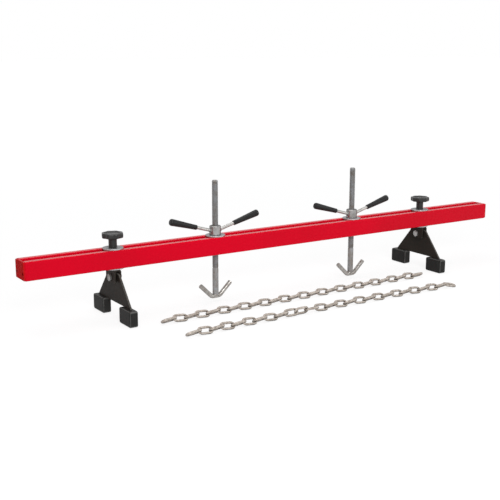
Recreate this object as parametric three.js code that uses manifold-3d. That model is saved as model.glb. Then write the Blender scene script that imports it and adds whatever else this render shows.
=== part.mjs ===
// Engine support bar: a slotted steel bar on two adjustable feet, with two screw hooks and two chains.
// Millimetres, +Z up, the bar runs along X, its front faces -Y and its feet stand at Z = 0.
import * as THREE from 'three';
import { mergeVertices } from 'three/addons/utils/BufferGeometryUtils.js';
import Module from 'manifold-3d';

const wasm = await Module();
wasm.setup();

// Clearances
const round_gap = 0.3; // between a round piece and the hole it sits in
const side_gap = 0.3; // between flat faces that slide past each other
const link_gap = 0.9; // play between chain pieces that hang in one another
const link_merge = 0.6; // how far links of one chain piece run into each other

// Heights
const under_z = 129; // underside of the bar above the floor
const hook_floor = 7; // clear height below a hook

// Bar
const bar_length = 1500;
const rail_depth = 17; // along Y
const rail_height = 46;
const rail_wall = 2.5;
const rail_corner = 3;
const rail_inner_corner = 1;
const slot_width = 22.8;
const end_plate_thick = 5;
const end_plate_inset = 1.2; // how far the end plate stays inside the outline of the rails
const end_plate_corner = 2.5;
const vent_radius = 3;
const vent_height_share = 0.35; // of the rail's height

// Washers
const washer_radius = 26;
const washer_thick = 3;

// Clamp stud and knob
const stud_radius = 6;
const stud_chamfer = 1;
const knob_stem_radius = 10.3;
const knob_stem_height = 24;
const knob_radius = 27.4;
const knob_head_height = 13;
const knob_lobes = 8;
const knob_lobe_depth = 1.6;
const knob_bevel = 1.6;
const knob_dish_share = 0.67; // of the knob's radius
const knob_dish_depth = 3;
const insert_radius = 8;
const insert_share = 0.9; // of the stem's height
const stud_in_head_share = 0.5; // of the head's height

// Swivel hanger
const hanger_width = 50; // along Y
const hanger_inner = 10.5; // between the cheeks
const cheek_thick = 4;
const web_thick = 5;
const hanger_height = 34;
const hanger_bend = 2.5;
const cheek_round = 7; // at the cheeks' lower corners
const pivot_drop = 22; // from the hanger's top to the pivot bolt
const pivot_radius = 5;
const pivot_flats = 17; // across the flats of the bolt head and nut
const pivot_head_height = 6.4;
const pivot_nut_height = 8;
const pivot_tail = 3; // of the bolt beyond its nut
const boss_radius = 9;

// Foot plate
const plate_thick = 5;
const plate_far_gap = 1.3; // between the plate and the cheek on its +X side
const plate_top_gap = 1; // below the hanger's web
const plate_top_half = 31;
const plate_roof = 5.8; // how much the top falls from its middle to its corners
const plate_bottom_half = 92.5;
const plate_bottom_z = 41; // lower edge above the floor
const tongue_inset = 6.5; // from the plate's lower corner
const tongue_width = 26;
const tongue_length = 20;

// Foot pads
const pad_overhang = 15; // beyond the plate's lower corner
const pad_length = 62; // along Y
const pad_height = 40;
const pad_thick = 21.5; // along X
const pad_shift = 1; // towards +X from the stud's axis
const pad_corner = 4;
const pad_bevel = 2;

// Lifting screws
const rod_radius = 8.1;
const rod_above = 146; // above the bar's top
const rod_chamfer = 1.5;
const nut_radius = 15;
const nut_height = 24;
const nut_chamfer = 1.2;
const handle_angle = 16; // degrees above level
const handle_axis_height = 8.5; // where the handles' axes meet the screw, above the washer
const handle_radius = 4.25;
const handle_start = 10.5; // from the screw's axis, along the handle
const handle_end = 126;
const grip_start = 58;
const grip_end = 138;
const grip_inner_radius = 6.4;
const grip_outer_radius = 9;
const grip_round = 4.5;

// Hooks
const hook_radius = 5.8;
const hook_reach = 46; // to the middle of an arm's end
const hook_rise = 33; // of the arm's end above the flat bottom
const hook_flat_half = 12;
const hook_bend_share = 0.45; // of the flat half, on each side of a bend
const hook_seat = 1.2; // depth of the flat the screw is welded to
const hook_seat_half = 9.3;

// Chains
const wire_radius = 3;
const link_width = 21.2;
const link_inner_length = 31.5;
const links_per_piece = 3;
const pieces_per_chain = 9;
const standing_roll = 48; // degrees, of the links that stand up
const lying_roll = -36;
const joint_rise = 1.3; // the chain's joints lie this much above and below its middle, in turn
const front_chain_end_z = 4.4; // where its last link lies down on the floor

// Where things stand
const left_leg_setting = 513.5; // how far along the slot it is set from the bar's middle
const right_leg_setting = 495;
const left_hook_setting = 222.3;
const right_hook_setting = 232.3;
const rear_chain_gap = 67.5; // from the chain's right end to the right foot's pads
const rear_chain_away = 120.5; // from the bar's middle line
const front_chain_away = 242.2;
const rear_chain_heading = 1.2; // degrees towards the bar

// Derived heights and sizes
const top_z = under_z + rail_height;
const washer_top = top_z + washer_thick;
const hanger_top = under_z - washer_thick;
const pivot_z = hanger_top - pivot_drop;
const hanger_half = hanger_inner / 2 + cheek_thick;
const plate_x = hanger_inner / 2 - plate_far_gap - plate_thick;
const bar_half_depth = slot_width / 2 + rail_depth;
const tongue_outer = plate_bottom_half - tongue_inset;
const tongue_inner = tongue_outer - tongue_width;
const pad_outer = plate_bottom_half + pad_overhang;
const knob_head_z = washer_top + knob_stem_height;
const link_arc = link_width / 2 - wire_radius;
const link_straight = link_inner_length / 2 + wire_radius - link_arc;
const link_half = link_straight + link_arc + wire_radius;
const tight_pitch = link_inner_length + link_merge;
const loose_pitch = link_inner_length - link_gap;
const piece_run = (links_per_piece - 1) * tight_pitch + loose_pitch;
const link_slope = 2 * joint_rise / loose_pitch;
const standing_rise = Math.sin(standing_roll * Math.PI / 180);
const arc_drop = link_arc * Math.hypot(standing_rise, link_slope);
const chain_z = link_straight * link_slope + arc_drop + wire_radius;
const rear_chain_end_z = chain_z - joint_rise;
const chain_run = pieces_per_chain * piece_run - loose_pitch; // between its end links' middles
const rear_chain_run = chain_run * Math.cos(rear_chain_heading * Math.PI / 180);
const right_pad_face = right_leg_setting + pad_shift - pad_thick / 2;
const chain_start = right_pad_face - rear_chain_gap - link_half - rear_chain_run;

// Where each copy stands
const right_end = bar_length / 2;
const legs = [
  { side: 'left', x: -left_leg_setting },
  { side: 'right', x: right_leg_setting },
];
const hooks = [
  { side: 'left', x: -left_hook_setting },
  { side: 'right', x: right_hook_setting },
];
const chains = [
  {
    name: 'rear_chain',
    x: chain_start,
    y: -rear_chain_away,
    heading: rear_chain_heading,
    turn: 0,
    rolls: {},
    end_z: rear_chain_end_z,
  },
  {
    name: 'front_chain',
    x: chain_start,
    y: -front_chain_away,
    heading: 2.76,
    turn: -0.61,
    rolls: { 9: 50, 10: 106, 11: 162, 26: 12 },
    flip_after: 9,
    end_z: front_chain_end_z,
  },
];

// Materials
function finish(color, roughness, metalness) {
  return new THREE.MeshStandardMaterial({ color, roughness, metalness });
}
const red_paint = finish(0xcc1026, 0.35, 0.1);
const black_paint = finish(0x26241f, 0.55, 0.1);
const black_rubber = finish(0x1d1d1c, 0.8, 0);
const black_plastic = finish(0x18181a, 0.45, 0);
const zinc = finish(0xb9bec2, 0.35, 0.9);
const steel = finish(0x9a9c9d, 0.4, 0.9);
const brass = finish(0xb5924c, 0.4, 0.9);
const chain_zinc = finish(0xaba39b, 0.4, 0.9);

// Geometry helpers
const facets = 24;

function bare(geometry) {
  const plain = new THREE.BufferGeometry();
  plain.setAttribute('position', geometry.getAttribute('position').clone());
  if (geometry.index) {
    plain.setIndex(geometry.index.clone());
  }
  return mergeVertices(plain, 1e-4);
}

function signed_volume(geometry) {
  const p = geometry.getAttribute('position');
  const index = geometry.index;
  const a = new THREE.Vector3();
  const b = new THREE.Vector3();
  const c = new THREE.Vector3();
  let volume = 0;
  for (let i = 0; i < index.count; i += 3) {
    a.fromBufferAttribute(p, index.getX(i));
    b.fromBufferAttribute(p, index.getX(i + 1));
    c.fromBufferAttribute(p, index.getX(i + 2));
    volume += a.dot(b.cross(c)) / 6;
  }
  return volume;
}

// A closed geometry as a solid that can be joined and cut, facing outwards.
function solid(geometry) {
  const shape = bare(geometry);
  const index = Array.from(shape.index.array);
  if (signed_volume(shape) < 0) {
    index.reverse();
  }
  const kept = [];
  for (let i = 0; i < index.length; i += 3) {
    const [a, b, c] = index.slice(i, i + 3);
    if (a !== b && b !== c && c !== a) {
      kept.push(a, b, c);
    }
  }
  const mesh = new wasm.Mesh({
    numProp: 3,
    vertProperties: new Float32Array(shape.getAttribute('position').array),
    triVerts: new Uint32Array(kept),
  });
  return new wasm.Manifold(mesh);
}

function surface(body) {
  const mesh = body.getMesh();
  const geometry = new THREE.BufferGeometry();
  geometry.setAttribute('position', new THREE.BufferAttribute(mesh.vertProperties, 3));
  geometry.setIndex(new THREE.BufferAttribute(mesh.triVerts, 1));
  return geometry;
}

// A profile of [radius, height] pairs turned about the Z axis.
function turned(profile, count = facets) {
  const points = profile.map(([r, z]) => new THREE.Vector2(r, z));
  if (profile[0][0] > 0) {
    points.push(points[0].clone());
  }
  const geometry = new THREE.LatheGeometry(points, count);
  geometry.rotateX(Math.PI / 2);
  return solid(geometry);
}

function cylinder(radius, low, high, count = facets) {
  return turned([[0, low], [radius, low], [radius, high], [0, high]], count);
}

function pin(radius, low, high, chamfer, count = facets) {
  return turned([
    [0, low],
    [radius, low],
    [radius, high - chamfer],
    [radius - chamfer, high],
    [0, high],
  ], count);
}

function ring(inner, outer, low, high, count = facets) {
  return turned([[inner, low], [outer, low], [outer, high], [inner, high]], count);
}

// A rectangle with rounded corners, as a list of [x, y] pairs.
function rounded(x0, x1, y0, y1, radius, steps = 4) {
  const points = [];
  const corners = [[x1, y1, 0], [x0, y1, 1], [x0, y0, 2], [x1, y0, 3]];
  for (const [x, y, quarter] of corners) {
    const cx = x === x1 ? x - radius : x + radius;
    const cy = y === y1 ? y - radius : y + radius;
    for (let i = 0; i <= steps; i += 1) {
      const angle = (quarter + i / steps) * Math.PI / 2;
      points.push([cx + radius * Math.cos(angle), cy + radius * Math.sin(angle)]);
    }
  }
  return points;
}

function outline(points, holes = []) {
  const shape = new THREE.Shape(points.map(([x, y]) => new THREE.Vector2(x, y)));
  shape.holes = holes.map((hole) => new THREE.Path(hole.map(([x, y]) => new THREE.Vector2(x, y))));
  return shape;
}

// A flat outline given height, with optional rounded edges inside that height.
function extruded(shape, low, high, bevel = 0, steps = 2) {
  const geometry = new THREE.ExtrudeGeometry(shape, {
    depth: high - low - 2 * bevel,
    bevelEnabled: bevel > 0,
    bevelThickness: bevel,
    bevelSize: bevel,
    bevelOffset: -bevel,
    bevelSegments: steps,
    curveSegments: 8,
  });
  geometry.translate(0, 0, low + bevel);
  return geometry;
}

// An outline in the YZ plane, extruded along X.
const along_x = new THREE.Matrix4().makeBasis(
  new THREE.Vector3(0, 1, 0),
  new THREE.Vector3(0, 0, 1),
  new THREE.Vector3(1, 0, 0),
);
function slab_x(shape, low, high, bevel = 0) {
  return solid(extruded(shape, low, high, bevel).applyMatrix4(along_x));
}

// An outline in the XZ plane, extruded along Y.
const along_y = new THREE.Matrix4().makeBasis(
  new THREE.Vector3(1, 0, 0),
  new THREE.Vector3(0, 0, 1),
  new THREE.Vector3(0, -1, 0),
);
function slab_y(shape, half) {
  return solid(extruded(shape, -half, half).applyMatrix4(along_y));
}

function box(x0, x1, y0, y1, z0, z1) {
  const geometry = new THREE.BoxGeometry(x1 - x0, y1 - y0, z1 - z0);
  geometry.translate((x0 + x1) / 2, (y0 + y1) / 2, (z0 + z1) / 2);
  return solid(geometry);
}

function moved(body, matrix) {
  const geometry = surface(body);
  geometry.applyMatrix4(matrix);
  return solid(geometry);
}

function shifted(body, x, y = 0, z = 0) {
  return moved(body, new THREE.Matrix4().makeTranslation(x, y, z));
}

function pinned_x(body, z) {
  const turn = new THREE.Matrix4().makeRotationY(Math.PI / 2);
  return moved(body, turn.premultiply(new THREE.Matrix4().makeTranslation(0, 0, z)));
}

// A round bar that follows flat points in the XZ plane or, closed, a loop.
function swept(points, radius, sides, closed) {
  const count = points.length;
  const positions = [];
  const index = [];
  for (let i = 0; i < count; i += 1) {
    const here = points[i];
    const before = closed ? points[(i + count - 1) % count] : points[Math.max(i - 1, 0)];
    const after = closed ? points[(i + 1) % count] : points[Math.min(i + 1, count - 1)];
    const into = here.clone().sub(before).normalize();
    const out = after.clone().sub(here).normalize();
    if (!closed && i === 0) {
      into.copy(out);
    }
    if (!closed && i === count - 1) {
      out.copy(into);
    }
    const along = into.clone().add(out).normalize();
    const across = new THREE.Vector2(-along.y, along.x);
    const wide = radius / Math.max(along.dot(into), Math.SQRT1_2);
    for (let k = 0; k < sides; k += 1) {
      const angle = (2 * Math.PI * k) / sides;
      const u = wide * Math.cos(angle);
      positions.push(here.x + across.x * u, radius * Math.sin(angle), here.y + across.y * u);
    }
  }
  const rings = closed ? count : count - 1;
  for (let i = 0; i < rings; i += 1) {
    for (let k = 0; k < sides; k += 1) {
      const a = i * sides + k;
      const b = i * sides + (k + 1) % sides;
      const c = ((i + 1) % count) * sides + k;
      const d = ((i + 1) % count) * sides + (k + 1) % sides;
      index.push(a, b, d, a, d, c);
    }
  }
  if (!closed) {
    const last = (count - 1) * sides;
    for (let k = 1; k < sides - 1; k += 1) {
      index.push(0, k + 1, k);
      index.push(last, last + k, last + k + 1);
    }
  }
  const geometry = new THREE.BufferGeometry();
  geometry.setAttribute('position', new THREE.Float32BufferAttribute(positions, 3));
  geometry.setIndex(index);
  return solid(geometry);
}

const part = new THREE.Group();
part.name = 'engine_support_bar';

function add(name, body, material) {
  const mesh = new THREE.Mesh(surface(body), material);
  mesh.name = name;
  part.add(mesh);
}

// The bar: two rectangular tubes side by side, closed at both ends by a welded plate.
function rail(side) {
  const near = side * slot_width / 2;
  const far = side * bar_half_depth;
  const y0 = Math.min(near, far);
  const y1 = Math.max(near, far);
  const outer = rounded(y0, y1, under_z, top_z, rail_corner);
  const inner = rounded(
    y0 + rail_wall,
    y1 - rail_wall,
    under_z + rail_wall,
    top_z - rail_wall,
    rail_inner_corner,
    2,
  );
  const half = right_end - end_plate_thick;
  return slab_x(outline(outer, [inner]), -half, half);
}

function end_plate(side) {
  const y = bar_half_depth - end_plate_inset;
  const z0 = under_z + end_plate_inset;
  const z1 = top_z - end_plate_inset;
  const outer = rounded(-y, y, z0, z1, end_plate_corner);
  const vent_z = under_z + rail_height * vent_height_share;
  const vents = [-1, 1].map((s) => {
    const cy = s * (slot_width + rail_depth) / 2;
    return rounded(
      cy - vent_radius,
      cy + vent_radius,
      vent_z - vent_radius,
      vent_z + vent_radius,
      vent_radius,
    );
  });
  const end = side * right_end;
  const face = end - side * end_plate_thick;
  return slab_x(outline(outer, vents), Math.min(end, face), Math.max(end, face));
}

add('front_rail', rail(-1), red_paint);
add('rear_rail', rail(1), red_paint);
add('left_end_plate', end_plate(-1), red_paint);
add('right_end_plate', end_plate(1), red_paint);

// Clamp knob: a lobed, dished head on a round stem, with a threaded insert.
function clamp_knob() {
  const count = knob_lobes * 6;
  const edge = [];
  for (let i = 0; i < count; i += 1) {
    const angle = (2 * Math.PI * i) / count;
    const dip = knob_lobe_depth * (1 - Math.cos(knob_lobes * angle)) / 2;
    const r = knob_radius - dip;
    edge.push([r * Math.cos(angle), r * Math.sin(angle)]);
  }
  const high = knob_head_z + knob_head_height;
  const head = solid(extruded(outline(edge), knob_head_z, high, knob_bevel, 1));
  const stem = cylinder(knob_stem_radius, washer_top, knob_head_z + knob_bevel);
  const dish = knob_radius * knob_dish_share;
  const hollow = turned([
    [0, high - knob_dish_depth],
    [dish - knob_dish_depth, high - knob_dish_depth],
    [dish, high],
    [dish, high + knob_dish_depth],
    [0, high + knob_dish_depth],
  ], 32);
  const insert_top = washer_top + knob_stem_height * insert_share;
  const stud_top = knob_head_z + knob_head_height * stud_in_head_share;
  const socket = turned([
    [0, washer_top - knob_bevel],
    [insert_radius + round_gap, washer_top - knob_bevel],
    [insert_radius + round_gap, insert_top],
    [stud_radius + round_gap, insert_top],
    [stud_radius + round_gap, stud_top + round_gap],
    [0, stud_top + round_gap],
  ]);
  return head.add(stem).subtract(hollow).subtract(socket);
}

// Inverted U hanger on the stud, carrying the pivot bolt.
function swivel_hanger() {
  const out = hanger_half;
  const inn = hanger_inner / 2;
  const low = hanger_top - hanger_height;
  const edge = [[-out, low], [-inn, low], [-inn, hanger_top - web_thick]];
  edge.push([inn, hanger_top - web_thick], [inn, low], [out, low]);
  const steps = 4;
  for (const side of [1, -1]) {
    for (let i = 0; i <= steps; i += 1) {
      const turn = side > 0 ? i / steps : 1 + i / steps;
      const angle = turn * Math.PI / 2;
      const cx = side * (out - hanger_bend);
      const cz = hanger_top - hanger_bend;
      edge.push([cx + hanger_bend * Math.cos(angle), cz + hanger_bend * Math.sin(angle)]);
    }
  }
  const half = hanger_width / 2;
  const cheek = rounded(-half, half, low, hanger_top + 2 * cheek_round, cheek_round);
  const body = slab_y(outline(edge), half).intersect(slab_x(outline(cheek), -2 * out, 2 * out));
  return body.subtract(pinned_x(cylinder(pivot_radius + round_gap, -2 * out, 2 * out), pivot_z));
}

// Foot plate: a trapezium with a roof-shaped top, a boss round the bolt and a tongue for each pad.
function foot_plate() {
  const top = hanger_top - web_thick - plate_top_gap;
  const low = plate_bottom_z;
  const half = [
    [0, top],
    [plate_top_half, top - plate_roof],
    [plate_bottom_half, low],
    [tongue_outer, low],
    [tongue_outer, low - tongue_length],
    [tongue_inner, low - tongue_length],
    [tongue_inner, low],
  ];
  const mirror = half.slice(1).reverse().map(([y, z]) => [-y, z]);
  const plate = slab_x(outline([...half, ...mirror]), plate_x, plate_x + plate_thick);
  const boss_end = -hanger_inner / 2 + side_gap;
  const boss = pinned_x(cylinder(boss_radius, boss_end, plate_x + plate_thick / 2), pivot_z);
  const hole = pinned_x(cylinder(pivot_radius + round_gap, -hanger_half, hanger_half), pivot_z);
  return plate.add(boss).subtract(hole);
}

function foot_pad(side) {
  const y0 = Math.min(side * pad_outer, side * (pad_outer - pad_length));
  const y1 = y0 + pad_length;
  const x0 = pad_shift - pad_thick / 2;
  const shape = outline(rounded(y0, y1, 0, pad_height, pad_corner));
  const body = slab_x(shape, x0, x0 + pad_thick, pad_bevel);
  const t0 = side * tongue_inner;
  const t1 = side * tongue_outer;
  const pocket = box(
    plate_x - side_gap,
    plate_x + plate_thick + side_gap,
    Math.min(t0, t1) - side_gap,
    Math.max(t0, t1) + side_gap,
    plate_bottom_z - tongue_length,
    pad_height + pad_bevel,
  );
  return body.subtract(pocket);
}

function hexagon(flats, low, high, hole) {
  const r = flats / Math.sqrt(3);
  const points = [];
  for (let i = 0; i < 6; i += 1) {
    const angle = (i * Math.PI) / 3;
    points.push([r * Math.cos(angle), r * Math.sin(angle)]);
  }
  const body = solid(extruded(outline(points), low, high));
  return hole ? body.subtract(cylinder(hole, low - flats, high + flats)) : body;
}

function pivot_bolt() {
  const head = hexagon(pivot_flats, -hanger_half - pivot_head_height, -hanger_half, 0);
  const end = hanger_half + pivot_nut_height + pivot_tail;
  const shank = pin(pivot_radius, -hanger_half - pivot_head_height / 2, end, stud_chamfer);
  return pinned_x(head.add(shank), pivot_z);
}

for (const { side, x } of legs) {
  const stud_top = knob_head_z + knob_head_height * stud_in_head_share;
  const insert_top = washer_top + knob_stem_height * insert_share;
  const nut_end = hanger_half + pivot_nut_height;
  const nut = hexagon(pivot_flats, hanger_half, nut_end, pivot_radius + round_gap);
  const pieces = [
    ['clamp_knob', clamp_knob(), black_plastic],
    ['knob_insert', ring(stud_radius + round_gap, insert_radius, washer_top, insert_top), brass],
    ['clamp_stud', pin(stud_radius, hanger_top, stud_top, stud_chamfer), zinc],
    ['upper_washer', ring(stud_radius + round_gap, washer_radius, top_z, washer_top), zinc],
    ['lower_washer', ring(stud_radius + round_gap, washer_radius, hanger_top, under_z), zinc],
    ['swivel_hanger', swivel_hanger(), black_paint],
    ['pivot_bolt', pivot_bolt(), zinc],
    ['pivot_nut', pinned_x(nut, pivot_z), zinc],
    ['foot_plate', foot_plate(), black_paint],
    ['front_pad', foot_pad(-1), black_rubber],
    ['rear_pad', foot_pad(1), black_rubber],
  ];
  for (const [name, body, material] of pieces) {
    add(`${side}_${name}`, shifted(body, x), material);
  }
}

// Lifting screws: a threaded rod through the slot, a hand nut with two bent-up handles and a hook.
function handle_frame(side) {
  const angle = handle_angle * Math.PI / 180;
  const turn = new THREE.Matrix4().makeRotationY(side * (Math.PI / 2 - angle));
  const lift = washer_top + handle_axis_height;
  return turn.premultiply(new THREE.Matrix4().makeTranslation(0, 0, lift));
}

function hand_nut() {
  const high = washer_top + nut_height;
  let body = turned([
    [rod_radius + round_gap, washer_top],
    [nut_radius - nut_chamfer, washer_top],
    [nut_radius, washer_top + nut_chamfer],
    [nut_radius, high - nut_chamfer],
    [nut_radius - nut_chamfer, high],
    [rod_radius + round_gap, high],
  ], 32);
  for (const side of [-1, 1]) {
    const hole = cylinder(handle_radius + round_gap, handle_start, 2 * nut_radius, 16);
    body = body.subtract(moved(hole, handle_frame(side)));
  }
  return body;
}

function grip() {
  return turned([
    [handle_radius + round_gap, grip_start],
    [grip_inner_radius, grip_start],
    [grip_outer_radius, grip_end - grip_round],
    [grip_outer_radius * Math.cos(Math.PI / 6), grip_end - grip_round / 2],
    [grip_outer_radius * Math.cos(Math.PI / 3), grip_end - grip_round / 8],
    [0, grip_end],
    [0, handle_end],
    [handle_radius + round_gap, handle_end],
  ], 20);
}

function lifting_hook() {
  const low = hook_floor + hook_radius;
  const end = new THREE.Vector2(hook_reach, low + hook_rise);
  const bend = new THREE.Vector2(hook_flat_half, low);
  const arm = end.clone().sub(bend).normalize();
  const reach = hook_flat_half * hook_bend_share;
  const arc = new THREE.QuadraticBezierCurve(
    new THREE.Vector2(hook_flat_half - reach, low),
    bend,
    bend.clone().addScaledVector(arm, reach),
  );
  const right = [...arc.getPoints(4), end];
  const left = right.map((p) => new THREE.Vector2(-p.x, p.y)).reverse();
  const body = swept([...left, ...right], hook_radius, 12, false);
  const seat = low + hook_radius - hook_seat;
  const cut = box(
    -hook_seat_half,
    hook_seat_half,
    -hook_radius - side_gap,
    hook_radius + side_gap,
    seat,
    seat + 2 * hook_radius,
  );
  return body.subtract(cut);
}

for (const { side, x } of hooks) {
  const rod_low = hook_floor + 2 * hook_radius - hook_seat;
  const bar = cylinder(handle_radius, handle_start, handle_end, 16);
  const washer = ring(rod_radius + round_gap, washer_radius, top_z, washer_top);
  const pieces = [
    ['thrust_washer', washer, zinc],
    ['hand_nut', hand_nut(), zinc],
    ['outer_handle_bar', moved(bar, handle_frame(side === 'left' ? -1 : 1)), steel],
    ['outer_grip', moved(grip(), handle_frame(side === 'left' ? -1 : 1)), black_rubber],
    ['inner_handle_bar', moved(bar, handle_frame(side === 'left' ? 1 : -1)), steel],
    ['inner_grip', moved(grip(), handle_frame(side === 'left' ? 1 : -1)), black_rubber],
    ['lifting_rod', pin(rod_radius, rod_low, top_z + rod_above, rod_chamfer), zinc],
    ['lifting_hook', lifting_hook(), steel],
  ];
  for (const [name, body, material] of pieces) {
    add(`${side}_${name}`, shifted(body, x), material);
  }
}

// Chain link: a round wire bent to a long loop, lying in the XZ plane about its own middle.
function chain_link() {
  const loop = [];
  const steps = 4;
  for (const side of [1, -1]) {
    for (let i = 0; i <= steps; i += 1) {
      const angle = -Math.PI / 2 + (i * Math.PI) / steps;
      const x = side * (link_straight + link_arc * Math.cos(angle));
      const z = side * link_arc * Math.sin(angle);
      loop.push(new THREE.Vector2(x, z));
    }
  }
  return swept(loop, wire_radius, 5, true);
}

const link_body = chain_link();
const link_count = links_per_piece * pieces_per_chain;

for (const { name, x, y, heading, turn, rolls, flip_after, end_z } of chains) {
  let yaw = heading * Math.PI / 180;
  const at = new THREE.Vector3(x, y, chain_z);
  const lies = (number) => {
    const flipped = flip_after !== undefined && number > flip_after;
    return (number % 2 === 0) !== flipped;
  };
  // The joint before a link: low before one that lies, high before all others
  const joint_z = (number) => {
    if (number === link_count) return end_z;
    const low = lies(number) && rolls[number] === undefined;
    return low ? chain_z - joint_rise : chain_z + joint_rise;
  };
  for (let piece = 0; piece < pieces_per_chain; piece += 1) {
    const forward = new THREE.Vector3(Math.cos(yaw), Math.sin(yaw), 0);
    let body = null;
    for (let k = 0; k < links_per_piece; k += 1) {
      const number = piece * links_per_piece + k;
      const roll = (rolls[number] ?? (lies(number) ? lying_roll : standing_roll)) * Math.PI / 180;
      const climb = joint_z(number + 1) - joint_z(number);
      at.z = joint_z(number) + climb / 2;
      const place = new THREE.Matrix4().makeRotationX(roll - Math.PI / 2);
      place.premultiply(new THREE.Matrix4().makeRotationY(-Math.atan2(climb, link_inner_length)));
      place.premultiply(new THREE.Matrix4().makeRotationZ(yaw));
      place.premultiply(new THREE.Matrix4().makeTranslation(at.x, at.y, at.z));
      const link = moved(link_body, place);
      body = body ? body.add(link) : link;
      at.addScaledVector(forward, k < links_per_piece - 1 ? tight_pitch : loose_pitch);
    }
    add(`${name}_piece_${piece + 1}`, body, chain_zinc);
    yaw += turn * Math.PI / 180;
  }
}

// The part's origin is on the floor, at the middle of the rectangle it covers.
const extent = new THREE.Box3().setFromObject(part);
const middle = extent.getCenter(new THREE.Vector3());
for (const mesh of part.children) {
  mesh.geometry.translate(-middle.x, -middle.y, 0);
}

export default part;
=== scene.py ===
# %% [markdown]
# An engine support bar: a slotted red bar on two black feet, two screw hooks and two chains.
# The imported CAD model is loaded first, because it fixes every size and place. Each piece below is
# then built over its CAD solid, finer than the solid and with a finish of its own.

# %% Load the frame
import bpy
import bmesh
import math
from mathutils import Matrix, Vector


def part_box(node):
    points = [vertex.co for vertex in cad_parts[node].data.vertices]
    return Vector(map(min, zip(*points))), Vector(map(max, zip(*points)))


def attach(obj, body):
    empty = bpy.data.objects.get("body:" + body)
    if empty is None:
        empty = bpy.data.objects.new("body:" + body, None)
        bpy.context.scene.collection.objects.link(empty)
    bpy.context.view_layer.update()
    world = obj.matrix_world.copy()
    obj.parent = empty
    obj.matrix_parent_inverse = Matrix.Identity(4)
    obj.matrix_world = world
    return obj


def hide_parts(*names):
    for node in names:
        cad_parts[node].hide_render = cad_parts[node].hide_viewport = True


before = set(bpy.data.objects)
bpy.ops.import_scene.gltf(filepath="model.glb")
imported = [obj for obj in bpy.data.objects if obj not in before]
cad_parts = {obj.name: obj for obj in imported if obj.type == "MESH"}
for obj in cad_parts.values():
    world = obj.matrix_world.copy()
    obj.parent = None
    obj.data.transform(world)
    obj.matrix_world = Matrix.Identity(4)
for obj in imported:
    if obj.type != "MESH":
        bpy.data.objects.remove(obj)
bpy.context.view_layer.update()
scene = bpy.context.scene
MM = 0.001

# %% [markdown]
# Everything is measured from a few places on the frame: the bar's middle line, its top and
# underside, and where each leg and each screw stands along it. Reading them from the CAD solids
# keeps the fine pieces on what carries them.


# %% Places on the frame
def middle(node):
    low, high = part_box(node)
    return (low + high) / 2


front_low, front_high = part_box("front_rail")
BAR_Y = (front_low.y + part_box("rear_rail")[1].y) / 2
UNDER_Z = front_low.z
TOP_Z = front_high.z
SIDES = ("left", "right")
LEG_X = {side: middle(f"{side}_clamp_stud").x for side in SIDES}
SCREW_X = {side: middle(f"{side}_lifting_rod").x for side in SIDES}
WASHER_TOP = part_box("left_upper_washer")[1].z
PIVOT_Z = middle("left_pivot_nut").z
print("bar middle", BAR_Y, "legs", LEG_X, "screws", SCREW_X)

# %% [markdown]
# Each shape is a list of points and a list of faces, so that shapes can be turned, moved and
# joined before they become a mesh. Most of this object is turned, bent or cut from plate. The
# tools for that lay rings of points one after another and put a skin of faces between them.

# %% Shapes: rings and the skin between them
X_WAY = Vector((1, 0, 0))
Y_WAY = Vector((0, 1, 0))
Z_WAY = Vector((0, 0, 1))


def on_circle(radius, angle, z):
    return Vector((radius * math.cos(angle), radius * math.sin(angle), z))


def ring(centre, out, up, radius, sides):
    """Points round a centre, in the plane of two directions."""
    angles = [math.tau * k / sides for k in range(sides)]
    return [centre + (out * math.cos(a) + up * math.sin(a)) * radius for a in angles]


def skin(rings, sides, closed=False, capped=True):
    """Faces between rings of points, with a cap at both ends unless the rings close."""
    faces = []
    for i in range(rings if closed else rings - 1):
        j = (i + 1) % rings
        for k in range(sides):
            n = (k + 1) % sides
            faces.append((i * sides + k, i * sides + n, j * sides + n, j * sides + k))
    if capped and not closed:
        faces += [tuple(range(sides)), tuple((rings - 1) * sides + k for k in range(sides))]
    return faces


# %% [markdown]
# Washers, knobs, hubs, screws and grips are round, and a real lathe turns them from a profile.
# The lathe here does the same. A profile that starts on the axis makes a solid body, and one that
# starts away from it closes on itself and makes a ring.


# %% Shapes: lathe
def turned(profile, sides=48):
    """A profile of (radius, height) pairs turned about Z. It closes on the axis or on itself."""
    points, rows = [], []
    for radius, height in profile:
        if radius == 0:
            rows.append([len(points)] * sides)
            points.append(Vector((0, 0, height)))
            continue
        rows.append([len(points) + k for k in range(sides)])
        points += [on_circle(radius, math.tau * k / sides, height) for k in range(sides)]
    if profile[0][0] > 0:
        rows.append(rows[0])
    faces = []
    for lower, upper in zip(rows, rows[1:]):
        for k in range(sides):
            n = (k + 1) % sides
            corners = dict.fromkeys((lower[k], lower[n], upper[n], upper[k]))
            if len(corners) > 2:
                faces.append(tuple(corners))
    return points, faces


def rounded_ring(inner, outer, low, high, edge, sides=48):
    """A flat ring with its four edges eased."""
    return turned([
        (inner, low + edge), (inner + edge, low), (outer - edge, low), (outer, low + edge),
        (outer, high - edge), (outer - edge, high), (inner + edge, high), (inner, high - edge),
    ], sides)


# %% [markdown]
# Hooks and chain links are round wire bent in one plane. A ring of points square to the path at
# each of its points makes them, and a radius for each point allows chamfers and butt welds.


# %% Shapes: sweep along a flat path
def swept(path, radii, sides=16, closed=False):
    """A round bar along points in the XZ plane, with a radius for each point."""
    count = len(path)
    points = []
    for i, here in enumerate(path):
        before = path[i - 1] if closed or i else here
        after = path[(i + 1) % count] if closed or i < count - 1 else here
        along = (after - before).normalized()
        points += ring(here, Vector((-along.z, 0, along.x)), Y_WAY, radii[i], sides)
    return points, skin(count, sides, closed)


# %% [markdown]
# Shapes are made at the origin, where their numbers are simple, and then moved to their place
# with a matrix. Several shapes of one piece are joined into one list of points and faces.


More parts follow.
